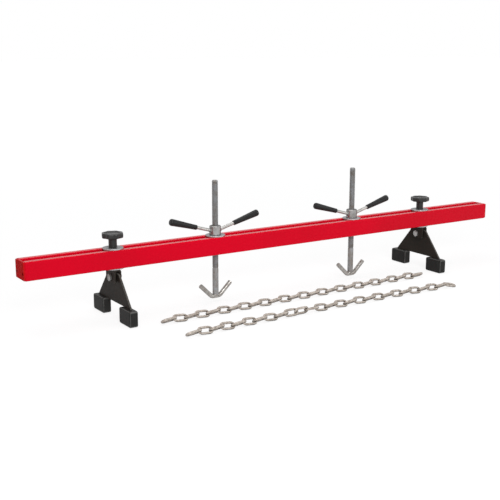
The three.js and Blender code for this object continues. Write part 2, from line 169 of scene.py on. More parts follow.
# %% Shapes: move and join
def placed(shape, matrix):
    return [matrix @ point for point in shape[0]], shape[1]


def at(x, y, z):
    return Matrix.Translation((x, y, z))


def joined(*shapes):
    points, faces = [], []
    for some_points, some_faces in shapes:
        start = len(points)
        points += some_points
        faces += [tuple(start + i for i in face) for face in some_faces]
    return points, faces


# turns that lay a shape's Z axis along X or back along X, and its XY plane into the YZ plane
Z_TO_X = Matrix.Rotation(math.radians(90), 4, "Y")
Z_TO_BACK_X = Matrix.Rotation(math.radians(-90), 4, "Y")
YZ_PLANE = Matrix(((0, 0, 1, 0), (1, 0, 0, 0), (0, 1, 0, 0), (0, 0, 0, 1)))

# %% [markdown]
# A finished shape becomes an object here. Points that coincide are merged and all faces are
# turned outwards. Flat and round areas are split at sharp edges, and flat areas take their own
# direction at an eased edge, so that they do not shade like pillows. The object is hung on the
# CAD body that carries it and gets its material, and the CAD nodes it stands for are hidden.

# %% Shapes: make the object
MERGE_DISTANCE = 1e-7


def added(name, data):
    thing = bpy.data.objects.new(name, data)
    scene.collection.objects.link(thing)
    return thing


def clean_mesh(name, shape):
    mesh = bpy.data.meshes.new(name)
    mesh.from_pydata(shape[0], [], shape[1])
    work = bmesh.new()
    work.from_mesh(mesh)
    bmesh.ops.remove_doubles(work, verts=work.verts, dist=MERGE_DISTANCE)
    bmesh.ops.recalc_face_normals(work, faces=work.faces)
    work.to_mesh(mesh)
    work.free()
    return mesh


def piece(name, shape, material, body, nodes=(), ease=0, sharp=38):
    mesh = clean_mesh(name, shape)
    mesh.materials.append(material)
    mesh.shade_smooth()
    mesh.set_sharp_from_angle(angle=math.radians(sharp))
    thing = added(name, mesh)
    if ease:
        edge = thing.modifiers.new("Eased edges", "BEVEL")
        edge.width = ease
        edge.segments = 2
        edge.limit_method = "ANGLE"
        edge.angle_limit = math.radians(sharp)
        edge.harden_normals = True
    flat = thing.modifiers.new("Flat areas first", "WEIGHTED_NORMAL")
    flat.keep_sharp = True
    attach(thing, body)
    if nodes:
        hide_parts(*nodes)


# %% [markdown]
# Plates and pads are cut from sheet or moulded as flat blocks. A filled 2D curve with its
# outline and holes, given a thickness and a small bevel, cuts them. It is drawn smaller by the
# bevel, so that the finished plate has the outline's true size.


# %% Shapes: plates cut from sheet
def shape_of(thing):
    """The points and faces of a helper object once its modifiers are done."""
    bpy.context.view_layer.update()
    finished = thing.evaluated_get(bpy.context.evaluated_depsgraph_get())
    mesh = bpy.data.meshes.new_from_object(finished)
    points = [vertex.co.copy() for vertex in mesh.vertices]
    faces = [tuple(face.vertices) for face in mesh.polygons]
    bpy.data.meshes.remove(mesh)
    return points, faces


def cut_plate(loops, thickness, ease, steps=2):
    """A flat plate in the XY plane, cut to the loops' outline and holes, with eased edges."""
    curve = bpy.data.curves.new("plate outline", "CURVE")
    curve.dimensions = "2D"
    curve.fill_mode = "BOTH"
    curve.extrude = thickness / 2 - ease
    curve.bevel_depth = ease
    curve.offset = -ease
    curve.bevel_resolution = steps
    for loop in loops:
        line = curve.splines.new("POLY")
        line.points.add(len(loop) - 1)
        for point, (x, y) in zip(line.points, loop):
            point.co = (x, y, 0, 1)
        line.use_cyclic_u = True
    plate = shape_of(added("plate blank", curve))
    bpy.data.curves.remove(curve)
    return plate


# %% [markdown]
# Tubes, plates and pads have outlines with round corners, and holes are round. Both are short
# loops of points on arcs, so a larger radius or more steps is one number.


# %% Shapes: outlines
def rounded_loop(x0, x1, y0, y1, radius, steps=6):
    loop = []
    for cx, cy, quarter in (
        (x1 - radius, y1 - radius, 0), (x0 + radius, y1 - radius, 1),
        (x0 + radius, y0 + radius, 2), (x1 - radius, y0 + radius, 3),
    ):
        for i in range(steps + 1):
            angle = (quarter + i / steps) * math.pi / 2
            loop.append((cx + radius * math.cos(angle), cy + radius * math.sin(angle)))
    return loop


def circle_loop(x, y, radius, steps=24):
    angles = [math.tau / steps * i for i in range(steps)]
    return [(x + radius * math.cos(a), y + radius * math.sin(a)) for a in angles]


# %% [markdown]
# Grooves with sharp walls in a soft block are easiest to cut as a mould maker would, with a
# cutter. An exact boolean keeps the walls clean.


# %% Shapes: carve one shape out of another
def block(low, high):
    """A plain cutter between two corners."""
    xs, ys, zs = zip(low, high)
    points = [Vector((x, y, z)) for x in xs for y in ys for z in zs]
    return points, [(0, 1, 3, 2), (4, 6, 7, 5), (0, 4, 5, 1), (2, 3, 7, 6), (0, 2, 6, 4),
                    (1, 5, 7, 3)]


def carved(shape, cutter):
    body = added("carved body", clean_mesh("carved body", shape))
    tool = added("carving cutter", clean_mesh("carving cutter", cutter))
    cut = body.modifiers.new("cut", "BOOLEAN")
    cut.object = tool
    cut.solver = "EXACT"
    result = shape_of(body)
    for thing in (body, tool):
        bpy.data.meshes.remove(thing.data)
    return result


print("shape tools ready")

# %% [markdown]
# The finishes share five effects, and each is a node group with its own inputs: a paint film
# with clouds and orange peel, drawn or rolled metal with fine lines, grime and painted shade where
# two surfaces meet, edges made pale by wear and by a painted highlight, and the skin of moulded
# rubber. Groups put out colours, values and heights, and the shader itself stays in each material.

# %% Node groups: the maker
WHITE = (1, 1, 1, 1)
SURFACE = ("Color", "Roughness", "Height")


def socket_kind(value):
    if isinstance(value, tuple):
        return "NodeSocketColor" if len(value) == 4 else "NodeSocketVector"
    return "NodeSocketFloat"


def new_group(name, inputs, outputs=SURFACE):
    """An empty group with its sockets. A colour has four numbers, and a vector has three."""
    group = bpy.data.node_groups.new(name, "ShaderNodeTree")
    for label, value in inputs.items():
        socket = group.interface.new_socket(
            name=label, in_out="INPUT", socket_type=socket_kind(value))
        socket.default_value = value
    for label in outputs:
        kind = "NodeSocketColor" if label == "Color" else "NodeSocketFloat"
        group.interface.new_socket(name=label, in_out="OUTPUT", socket_type=kind)
    return group, group.nodes.new("NodeGroupInput").outputs


def put_out(group, *values):
    """Links the values to the group's outputs, in their order."""
    end = group.nodes.new("NodeGroupOutput")
    for value, socket in zip(values, end.inputs):
        group.links.new(value, socket)
    print("node group", group.name)
    return group


# %% [markdown]
# Four short helpers keep the groups readable. Each adds one node and gives back its output. A
# value that goes in may be a number or the output of another node. The Mix node has a set of
# sockets for each kind of value, and its colour sockets are found by number.

# %% Node groups: single nodes
MIX_A, MIX_B, MIX_RESULT = 6, 7, 2


def feed(tree, value, socket):
    if isinstance(value, bpy.types.NodeSocket):
        tree.links.new(value, socket)
    else:
        socket.default_value = value


def noise(tree, scale, detail, place=None, roughness=0.5):
    node = tree.nodes.new("ShaderNodeTexNoise")
    if place is None:
        place = tree.nodes.new("ShaderNodeTexCoord").outputs["Object"]
    for label, value in (("Scale", scale), ("Detail", detail), ("Roughness", roughness),
                         ("Vector", place)):
        feed(tree, value, node.inputs[label])
    return node.outputs["Fac"]


def spread(tree, value, low, high, new_low=0, new_high=1):
    """Maps a value from one range to another."""
    node = tree.nodes.new("ShaderNodeMapRange")
    for label, end in (("Value", value), ("From Min", low), ("From Max", high),
                       ("To Min", new_low), ("To Max", new_high)):
        feed(tree, end, node.inputs[label])
    return node.outputs["Result"]


def mixed(tree, factor, first, second):
    node = tree.nodes.new("ShaderNodeMix")
    node.data_type = "RGBA"
    tree.links.new(factor, node.inputs["Factor"])
    tree.links.new(first, node.inputs[MIX_A])
    tree.links.new(second, node.inputs[MIX_B])
    return node.outputs[MIX_RESULT]


def worked_out(tree, operation, *values):
    node = tree.nodes.new("ShaderNodeMath")
    node.operation = operation
    for value, socket in zip(values, node.inputs):
        tree.links.new(value, socket)
    return node.outputs[0]


# %% [markdown]
# Enamel is never one flat red. The film varies a little in tone, in slow clouds, and its gloss
# varies more finely. Orange peel is the faint dimpled skin that sprayed paint dries with.

# %% Node groups: paint film
group, given = new_group("Paint film", {
    "Color": WHITE, "Cloud Color": WHITE, "Cloud Scale": 6, "Peel Scale": 400,
    "Roughness Low": 0.25, "Roughness High": 0.4,
})
clouds = spread(group, noise(group, given["Cloud Scale"], detail=3), 0.35, 0.7)
color = mixed(group, clouds, given["Color"], given["Cloud Color"])
rough = spread(group, noise(group, scale=90, detail=4), 0.3, 0.7, given["Roughness Low"],
               given["Roughness High"])
PAINT_FILM = put_out(group, color, rough, noise(group, given["Peel Scale"], detail=1))

# %% [markdown]
# Metal keeps the marks of its making: lathe lines, drawing lines or brush lines. Noise that is
# stretched along one axis draws them, and a second noise makes brighter and duller patches. The
# lines show in the gloss and the height, and the patches in the colour.

# %% Node groups: worked metal
group, given = new_group("Worked metal", {
    "Color": WHITE, "Dull Color": WHITE, "Line Scale": (300, 300, 300), "Patch Scale": 60,
    "Roughness Low": 0.2, "Roughness High": 0.4,
})
place = group.nodes.new("ShaderNodeTexCoord").outputs["Object"]
stretch = group.nodes.new("ShaderNodeMapping")
group.links.new(place, stretch.inputs["Vector"])
group.links.new(given["Line Scale"], stretch.inputs["Scale"])
lines = noise(group, scale=1, detail=2, place=stretch.outputs["Vector"])
patches = noise(group, given["Patch Scale"], detail=4, place=place, roughness=0.6)
dull = spread(group, patches, 0.38, 0.66)
color = mixed(group, dull, given["Color"], given["Dull Color"])
both = worked_out(group, "MULTIPLY", lines, patches)
rough = spread(group, both, 0.1, 0.42, given["Roughness Low"], given["Roughness High"])
WORKED_METAL = put_out(group, color, rough, lines)

# %% [markdown]
# Oil and dust gather where two surfaces meet and are wiped off elsewhere, and shade falls there
# too, so this darkening is grime and painted shade together. Ambient occlusion tells how shut in a
# point is within a short reach, and the grime and painted shade start at Open and are full at Shut.

# %% Node groups: grime and painted shade in the crevices
group, given = new_group("Crevice grime", {
    "Color": WHITE, "Grime And Shade Color": (0.02, 0.018, 0.015, 1), "Reach": 0.004, "Open": 0.9,
    "Shut": 0.35,
}, ["Color"])
# ambient occlusion darkens shut-in places: grime there, and painted shade as well
hidden = group.nodes.new("ShaderNodeAmbientOcclusion")
hidden.samples = 6
group.links.new(given["Reach"], hidden.inputs["Distance"])
share = spread(group, hidden.outputs["AO"], given["Open"], given["Shut"])
GRIME_AND_PAINTED_SHADE = put_out(group, mixed(group, share, given["Color"], given["Grime And Shade Color"]))

# %% [markdown]
# The pads and plates are blocks with eased edges, and their edges are paler than their faces:
# partly rubbed wear and partly a painted highlight. On a flat face the normal lies along one axis
# of the object, and on an eased edge it lies between two, so the largest of its three parts tells
# an edge from a face.

# %% Node groups: rubbed edges with a painted highlight
group, given = new_group("Rubbed edges and painted highlight", {
    "Color": WHITE, "Edge Color": (0.1, 0.1, 0.1, 1), "Flat": 0.995, "Edge": 0.86,
    "Patch Scale": 250,
}, ["Color"])
parts = group.nodes.new("ShaderNodeSeparateXYZ")
group.links.new(group.nodes.new("ShaderNodeTexCoord").outputs["Normal"], parts.inputs[0])
x, y, z = [worked_out(group, "ABSOLUTE", part) for part in parts.outputs]
largest = worked_out(group, "MAXIMUM", worked_out(group, "MAXIMUM", x, y), z)
# paler edges: rubbed wear and a painted highlight
on_edge = spread(group, largest, given["Flat"], given["Edge"])
patches = spread(group, noise(group, given["Patch Scale"], detail=3), 0.3, 0.6, 0.35, 1)
share = worked_out(group, "MULTIPLY", on_edge, patches)
EDGE_WEAR_AND_HIGHLIGHT = put_out(group, mixed(group, share, given["Color"], given["Edge Color"]))

# %% [markdown]
# Rubber and plastic take the fine grain of their mould and a thin dust that lies in patches.

# %% Node groups: moulded skin
group, given = new_group("Moulded skin", {
    "Color": WHITE, "Dust Color": WHITE, "Dust Scale": 40, "Grain Scale": 900,
    "Roughness Low": 0.5, "Roughness High": 0.8,
})
dust = noise(group, given["Dust Scale"], detail=5, roughness=0.65)
color = mixed(group, spread(group, dust, 0.45, 0.8), given["Color"], given["Dust Color"])
rough = spread(group, dust, 0.3, 0.7, given["Roughness Low"], given["Roughness High"])
grain = group.nodes.new("ShaderNodeTexVoronoi")
place = group.nodes.new("ShaderNodeTexCoord").outputs["Object"]
group.links.new(place, grain.inputs["Vector"])
group.links.new(given["Grain Scale"], grain.inputs["Scale"])
MOULDED = put_out(group, color, rough, grain.outputs["Distance"])

# %% [markdown]
# A material is one Principled BSDF. An effect group feeds its colour, gloss and bump, and layers
# of grime with painted shade and of rubbed edges with a painted highlight may change the colour on
# the way. What is the same all over the surface, such as how metallic it is, is set on the shader's
# own sockets.


# %% Materials: the maker
def placed_group(tree, group, values):
    node = tree.nodes.new("ShaderNodeGroup")
    node.node_tree = group
    for label, value in values.items():
        node.inputs[label].default_value = value
    return node


def material(name, group, values, bump, shader, grime=None, edges=None):
    made = bpy.data.materials.new(name)
    made.use_nodes = True
    tree = made.node_tree
    bsdf = tree.nodes["Principled BSDF"]
    effect = placed_group(tree, group, values)
    color = effect.outputs["Color"]
    for wear_and_painted_light, wear_and_painted_light_values in ((GRIME_AND_PAINTED_SHADE, grime), (EDGE_WEAR_AND_HIGHLIGHT, edges)):
        if wear_and_painted_light_values:
            layer = placed_group(tree, wear_and_painted_light, wear_and_painted_light_values)
            tree.links.new(color, layer.inputs["Color"])
            color = layer.outputs["Color"]
    tree.links.new(color, bsdf.inputs["Base Color"])
    tree.links.new(effect.outputs["Roughness"], bsdf.inputs["Roughness"])
    height = tree.nodes.new("ShaderNodeBump")
    height.inputs["Strength"].default_value, height.inputs["Distance"].default_value = bump
    tree.links.new(effect.outputs["Height"], height.inputs["Height"])
    tree.links.new(height.outputs["Normal"], bsdf.inputs["Normal"])
    for label, value in shader.items():
        bsdf.inputs[label].default_value = value
    print("material", name)
    return made


# %% [markdown]
# The red is a smooth gloss enamel. Seen square on it is a deep clean red, and at a shallow angle
# it mirrors the pale room, as the rails' tops do. The reflection seen square on is tinted red,
# and the shallow one stays white. The end plates took less paint, so they are dull and mirror
# next to nothing, and grime with painted shade darkens their hollows. The feet are a satin black
# that looks brown-grey in the light, with edges made paler by wear and by a painted highlight.


# %% Materials: paints
def paint(name, color, cloud, clouds, peel, gloss, bump, shader, **wear_and_painted_light):
    """Enamel in two tones. Gloss is the least and the most roughness, bump a strength and depth."""
    values = {"Color": (*color, 1), "Cloud Color": (*cloud, 1), "Cloud Scale": clouds,
              "Peel Scale": peel, "Roughness Low": gloss[0], "Roughness High": gloss[1]}
    return material(name, PAINT_FILM, values, bump, shader, **wear_and_painted_light)


RED_PAINT = paint(
    "Red enamel", color=(0.72, 0.002, 0.018), cloud=(0.64, 0.003, 0.016),
    clouds=5, peel=150, gloss=(0.22, 0.30), bump=(0.03, 0.0001),
    shader={"Specular Tint": (1, 0.1, 0.18, 1), "Specular IOR Level": 0.2},
)
END_PAINT = paint(
    "Dull enamel of the ends", color=(0.60, 0.010, 0.011), cloud=(0.52, 0.013, 0.012),
    clouds=30, peel=180, gloss=(0.45, 0.6), bump=(0.12, 0.0006),
    shader={"Specular Tint": (1, 0.2, 0.2, 1), "Specular IOR Level": 0.01},
    # grime and painted shade darken the plate round its vents and weld
    grime={"Grime And Shade Color": (0.05, 0.002, 0.002, 1), "Reach": 0.008, "Open": 0.8, "Shut": 0.45},
)
BLACK_PAINT = paint(
    "Black satin paint", color=(0.027, 0.0235, 0.020), cloud=(0.034, 0.028, 0.023),
    clouds=18, peel=500, gloss=(0.34, 0.48), bump=(0.12, 0.0003),
    # pale edges: wear and a painted highlight
    shader={"Specular IOR Level": 0.03}, edges={"Edge Color": (0.10, 0.095, 0.085, 1)},
)

# %% [markdown]
# The screws, nuts and washers are zinc plated. Old plating is a mirror in part and a dull grey
# skin in part, so each steel here is partly metallic: the turned hubs and bolts most, the chain's
# wire least. The dull part takes light and shade, which a mirror in a white room never does. A
# dark tint at shallow angles gives round bars their darker edges, and patches differ in tone, as
# the oiled screws' cool and warm greys do. The brass in the knobs is bright, and is hardly seen.

# %% Materials: metals
EDGE_TINT = (0.2, 0.2, 0.2, 1)


def metal(name, share, bright, dull, lines, patches, gloss, bump, grime=None):
    """A worked metal, metallic by a share. Grime and painted shade take reach, open and shut."""
    values = {"Color": (*bright, 1), "Dull Color": (*dull, 1), "Line Scale": lines,
              "Patch Scale": patches, "Roughness Low": gloss[0], "Roughness High": gloss[1]}
    shader = {"Metallic": share, "Specular Tint": EDGE_TINT, "Specular IOR Level": 0.15}
    # the crevices get grime and painted shade from ambient occlusion
    crevices = dict(zip(("Reach", "Open", "Shut"), grime)) if grime else None
    return material(name, WORKED_METAL, values, bump, shader, grime=crevices)


BRIGHT_ZINC = metal(
    "Bright zinc plate", share=0.5, bright=(0.56, 0.56, 0.57), dull=(0.41, 0.41, 0.415),
    lines=(900, 900, 60), patches=90, gloss=(0.18, 0.34), bump=(0.05, 0.0002),
    grime=(0.002, 0.6, 0.1),
)
HUB_STEEL = metal(
    "Turned hub steel", share=0.7, bright=(0.40, 0.395, 0.39), dull=(0.26, 0.25, 0.24),
    lines=(40, 40, 900), patches=60, gloss=(0.09, 0.19), bump=(0.03, 0.0001),
    grime=(0.003, 0.7, 0.15),
)
SCREW_STEEL = metal(
    "Oiled screw thread", share=0.4, bright=(0.37, 0.38, 0.39), dull=(0.27, 0.245, 0.22),
    lines=(500, 500, 80), patches=70, gloss=(0.26, 0.42), bump=(0.1, 0.0002),
    grime=(0.0012, 0.7, 0.2),
)
BAR_STEEL = metal(
    "Plated round bar", share=0.5, bright=(0.52, 0.51, 0.49), dull=(0.38, 0.37, 0.35),
    lines=(60, 900, 900), patches=80, gloss=(0.18, 0.32), bump=(0.06, 0.0002),
    grime=(0.003, 0.8, 0.2),
)
HOOK_STEEL = metal(
    "Bent hook bar", share=0.3, bright=(0.46, 0.445, 0.42), dull=(0.29, 0.27, 0.245),
    lines=(300, 900, 300), patches=110, gloss=(0.13, 0.25), bump=(0.08, 0.0002),
    grime=(0.005, 0.8, 0.2),
)
CHAIN_WIRE = metal(
    "Galvanised chain wire", share=0.2, bright=(0.56, 0.505, 0.45), dull=(0.32, 0.275, 0.235),
    lines=(500, 500, 500), patches=140, gloss=(0.24, 0.4), bump=(0.1, 0.0002),
    grime=(0.009, 0.9, 0.3),
)
BRASS = metal(
    "Turned brass", share=0.9, bright=(0.50, 0.36, 0.14), dull=(0.38, 0.27, 0.11),
    lines=(60, 60, 900), patches=90, gloss=(0.25, 0.4), bump=(0.05, 0.0002),
)

# %% [markdown]
# The pads are hard black rubber, paler at their edges from rubbing and from a painted highlight.
# The grips are dipped in a smooth soft rubber, and the knobs are a moulded plastic with a little
# more shine.


# %% Materials: rubber and plastic
def moulding(name, color, dust, patches, grain, gloss, bump, shine, **wear_and_painted_light):
    values = {"Color": (*color, 1), "Dust Color": (*dust, 1), "Dust Scale": patches,
              "Grain Scale": grain, "Roughness Low": gloss[0], "Roughness High": gloss[1]}
    return material(name, MOULDED, values, bump, {"Specular IOR Level": shine}, **wear_and_painted_light)


PAD_RUBBER = moulding(
    "Moulded foot rubber", color=(0.027, 0.027, 0.026), dust=(0.038, 0.0375, 0.036),
    patches=45, grain=1400, gloss=(0.26, 0.40), bump=(0.08, 0.0002), shine=0.03,
    # pale edges: wear and a painted highlight
    edges={"Edge Color": (0.12, 0.12, 0.115, 1)},
)
GRIP_RUBBER = moulding(
    "Dipped grip rubber", color=(0.012, 0.012, 0.012), dust=(0.018, 0.018, 0.018),
    patches=60, grain=2200, gloss=(0.30, 0.42), bump=(0.06, 0.0001), shine=0.2,
)
KNOB_PLASTIC = moulding(
    "Moulded knob plastic", color=(0.016, 0.016, 0.015), dust=(0.026, 0.025, 0.023),
    patches=80, grain=1800, gloss=(0.30, 0.45), bump=(0.08, 0.0001), shine=0.35,
)

# %% [markdown]
# The bar is two rectangular tubes with round corners. Each is a ring of outline points at both
# ends, outer and inner, joined by long faces: the same tube a mill would roll.

# %% The two rails
CORNER = 3 * MM
INNER_CORNER = 1 * MM
WALL = 2.5 * MM
CORNER_STEPS = 8


def rail_tube(low, high):
    outer = rounded_loop(low.y, high.y, low.z, high.z, CORNER, CORNER_STEPS)
    inner = rounded_loop(low.y + WALL, high.y - WALL, low.z + WALL, high.z - WALL, INNER_CORNER,
                         CORNER_STEPS)
    rings = [(low.x, outer), (high.x, outer), (high.x, inner), (low.x, inner)]
    points = [Vector((x, y, z)) for x, loop in rings for y, z in loop]
    return points, skin(len(rings), len(outer), closed=True)


for which in ("front", "rear"):
    low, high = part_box(f"{which}_rail")
    piece(f"{which}_rail_tube", rail_tube(low, high), RED_PAINT, "bar",
          [f"{which}_rail"])
    print(which, "rail", high - low)

# %% [markdown]
# A weld is a bead of metal that ran round a joint, and its thickness wavers a little. Rings of
# points laid along the joint make it, as in a bent bar, and two sine waves of unlike length,
# multiplied, make it waver without a plain pattern.

# %% Weld beads
BEAD_SIDES = 8
BEAD_RADIUS = 1.7 * MM
BEAD_WAVER = 0.3 * MM
BEAD_STEP = 2.2 * MM
WAVER_TURN = 0.9
SECOND_WAVER = 2.3
WAVER_START = 1


def bead(sections):
    """A closed bead. Each section has a centre, its two directions and a radius."""
    points = []
    for centre, out, up, radius in sections:
        points += ring(centre, out, up, radius, BEAD_SIDES)
    return points, skin(len(sections), BEAD_SIDES, closed=True)


def dense_loop(loop, step):
    """The same loop with points added so that none lie further apart than step."""
    dense = []
    for (x0, y0), (x1, y1) in zip(loop, loop[1:] + loop[:1]):
        parts = max(1, round(math.hypot(x1 - x0, y1 - y0) / step))
        dense += [(x0 + (x1 - x0) * i / parts, y0 + (y1 - y0) * i / parts) for i in range(parts)]
    return dense


def weld_bead(loop, x):
    """A wavering bead along a closed loop in the YZ plane."""
    loop = dense_loop(loop, BEAD_STEP)
    count = len(loop)
    centre = Vector((0, sum(y for y, z in loop) / count, sum(z for y, z in loop) / count))
    sections = []
    for i, (y, z) in enumerate(loop):
        before, after = loop[i - 1], loop[(i + 1) % count]
        along = Vector((0, after[0] - before[0], after[1] - before[1])).normalized()
        out = along.cross(X_WAY)
        if out.dot(Vector((0, y, z)) - centre) < 0:
            out = -out
        waver = math.sin(WAVER_TURN * i)
        waver *= math.sin(SECOND_WAVER * WAVER_TURN * i + WAVER_START)
        sections.append((Vector((x, y, z)), out, X_WAY, BEAD_RADIUS + BEAD_WAVER * waver))
    return bead(sections)


# %% [markdown]
# A plate closes both tubes at each end. It has two vent holes, because a closed tube that is
# heated for its paint needs them. The plate is cut from sheet, holes and all, and the bead goes
# round it as a piece of its own, because it took the rails' bright paint and the plate did not.

# %% End plates
SHEET_EDGE = 0.5 * MM
PLATE_CORNER = 2.5 * MM
VENT_RADIUS = 3.8 * MM
VENT_HEIGHT_SHARE = 0.35
BEAD_SINK = 0.5 * MM
BEAD_OUTWARD = 0.6 * BEAD_RADIUS

vent_z = UNDER_Z + (TOP_Z - UNDER_Z) * VENT_HEIGHT_SHARE
vents = [circle_loop(middle(f"{which}_rail").y, vent_z, VENT_RADIUS) for which in ("front", "rear")]
for side in SIDES:
    low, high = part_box(f"{side}_end_plate")
    outline = rounded_loop(low.y, high.y, low.z, high.z, PLATE_CORNER)
    plate = cut_plate([outline] + vents, high.x - low.x, SHEET_EDGE)
    piece(f"{side}_end_cap", placed(plate, at((low.x + high.x) / 2, 0, 0) @ YZ_PLANE), END_PAINT,
          "bar", [f"{side}_end_plate"])
    joint = rounded_loop(low.y + BEAD_SINK, high.y - BEAD_SINK, low.z + BEAD_SINK,
                         high.z - BEAD_SINK, PLATE_CORNER)
    joint_x = high.x - BEAD_OUTWARD if side == "left" else low.x + BEAD_OUTWARD
    piece(f"{side}_end_weld", weld_bead(joint, joint_x), RED_PAINT, "bar")
print("end plates at", UNDER_Z, "to", TOP_Z, "vents at", vent_z)

# %% [markdown]
# Wide washers bridge the slot above and below. They are punched from sheet, so their edges are
# only eased, and the bright plating shows a soft highlight on the rim.

# %% Washers
STUD_HOLE = 6.3 * MM
ROD_HOLE = 8.4 * MM
WASHER_SIDES = 64


def washer(name, node, hole, x, body):
    low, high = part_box(node)
    shape = rounded_ring(hole, (high.x - low.x) / 2, low.z, high.z, SHEET_EDGE, WASHER_SIDES)
    piece(name, placed(shape, at(x, BAR_Y, 0)), BRIGHT_ZINC, body, [node])


for side in SIDES:
    leg = f"{side}_leg_carriage"
    washer(f"{side}_top_washer", f"{side}_upper_washer", STUD_HOLE, LEG_X[side], leg)
    washer(f"{side}_under_washer", f"{side}_lower_washer", STUD_HOLE, LEG_X[side], leg)
    washer(f"{side}_nut_washer", f"{side}_thrust_washer", ROD_HOLE, SCREW_X[side],
           f"{side}_hook_carriage")
print("washers under knobs and nuts, top at", WASHER_TOP)

# %% [markdown]
# The clamp knob is one moulding: a stem that flares into a head with eight shallow lobes for the
# fingers and a dished top with a rounded rim. A lathe profile with a lobe share for each ring
# gives that: the rings near the rim take the full lobe and the stem and the dish stay round. The
# brass insert and the stud inside it are the CAD solids, with metals of their own.

# %% Clamp knobs
KNOB_LOBES = 8
LOBE_DEPTH = 2.4 * MM
KNOB_SIDES = 96
# (radius from the axis, height above the washer, lobe share)
KNOB_PROFILE = [
    (0, 0, 0), (9.8, 0, 0), (10.3, 0.6, 0), (10.3, 17, 0), (10.6, 20.5, 0), (11.6, 22.8, 0),
    (13.5, 23.9, 0.05), (18, 24.1, 0.4), (24.4, 24.3, 0.9), (26.3, 25.0, 1), (27.2, 26.6, 1),
    (27.4, 28.8, 1), (27.4, 33.0, 1), (27.2, 35.0, 1), (26.4, 36.3, 1), (25.0, 36.9, 0.9),
    (23.2, 37.0, 0.6), (21.4, 36.7, 0.3), (20.0, 35.9, 0.1), (19.0, 34.9, 0), (17.6, 34.2, 0),
    (15.5, 33.9, 0), (6, 33.8, 0), (0, 33.8, 0),
]


def knob_shape():
    profile = [(radius * MM, height * MM) for radius, height, share in KNOB_PROFILE]
    points, faces = turned(profile, KNOB_SIDES)
    shares = []
    for radius, height, share in KNOB_PROFILE:
        shares += [share] * (1 if radius == 0 else KNOB_SIDES)
    for point, share in zip(points, shares):
        radius = math.hypot(point.x, point.y)
        if radius > 0 and share > 0:
            angle = math.atan2(point.y, point.x)
            dip = LOBE_DEPTH * share * (1 - math.cos(KNOB_LOBES * angle)) / 2
            point.xy *= (radius - dip) / radius
    return points, faces


for side in SIDES:
    knob = placed(knob_shape(), at(LEG_X[side], BAR_Y, WASHER_TOP))
    piece(f"{side}_knob_moulding", knob, KNOB_PLASTIC, f"{side}_knob",
          [f"{side}_clamp_knob"], sharp=60)
    for node, finish in ((f"{side}_knob_insert", BRASS), (f"{side}_clamp_stud", BRIGHT_ZINC)):
        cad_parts[node].data.materials.clear()
        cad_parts[node].data.materials.append(finish)
print("knobs with", KNOB_LOBES, "lobes at", LEG_X)

# %% [markdown]
# The hanger is one strip of thick sheet folded into an upside-down U, with the cheeks' lower
# corners rounded. Following the strip's middle line and giving it a width and a thickness at each
# step makes the folds, the way a press brake does.

# %% Swivel hangers
FOLD_RADIUS = 3.2 * MM
FOLD_STEPS = 6
CHEEK = 4 * MM
CHEEK_ROUND = 7 * MM
CHEEK_STEPS = 7


def folded_strip(half, low, high, half_width):
    """An inverted U in the XZ plane. half is from the middle to the outside of a cheek."""
    mid = half - CHEEK / 2
    top = high - CHEEK / 2
    right = []
    for i in range(CHEEK_STEPS + 1):
        angle = i / CHEEK_STEPS * math.pi / 2
        drop = CHEEK_ROUND * (1 - math.cos(angle))
        narrow = CHEEK_ROUND * (1 - math.sin(angle))
        right.append((Vector((mid, 0, low + drop)), X_WAY, half_width - narrow))
    centre = Vector((mid - FOLD_RADIUS, 0, top - FOLD_RADIUS))
    for i in range(FOLD_STEPS + 1):
        angle = i / FOLD_STEPS * math.pi / 2
        out = Vector((math.cos(angle), 0, math.sin(angle)))
        right.append((centre + out * FOLD_RADIUS, out, half_width))
    left = [(Vector((-p.x, 0, p.z)), Vector((-n.x, 0, n.z)), w) for p, n, w in reversed(right)]
    points = []
    for p, n, w in right + left:
        for across, thick in ((-1, 1), (1, 1), (1, -1), (-1, -1)):
            points.append(p + n * (thick * CHEEK / 2) + Y_WAY * (across * w))
    return points, skin(len(right + left), 4)


for side in SIDES:
    low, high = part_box(f"{side}_swivel_hanger")
    strip = folded_strip((high.x - low.x) / 2, low.z, high.z, (high.y - low.y) / 2)
    piece(f"{side}_hanger_strip", placed(strip, at(LEG_X[side], BAR_Y, 0)), BLACK_PAINT,
          f"{side}_foot_swivel", [f"{side}_swivel_hanger"], ease=SHEET_EDGE,
          sharp=30)
    print(side, "hanger", high - low)

# %% [markdown]
# The foot plate is a trapezium cut from sheet, with a low roof-shaped top that clears the hanger
# when the foot rocks, and a tongue at each lower corner that goes down into the rubber pad. A boss
# round the bolt keeps it on its side of the hanger.

# %% Foot plates
PLATE_THICK = 5 * MM
PLATE_EDGE = 0.6 * MM
PLATE_TOP_HALF = 31 * MM
PLATE_ROOF = 5.8 * MM
TONGUE_INNER = 60 * MM
TONGUE_OUTER = 86 * MM
TONGUE_LENGTH = 20 * MM
BOSS_HOLE = 5.3 * MM
BOSS_RADIUS = 9 * MM
BOSS_SIDES = 40

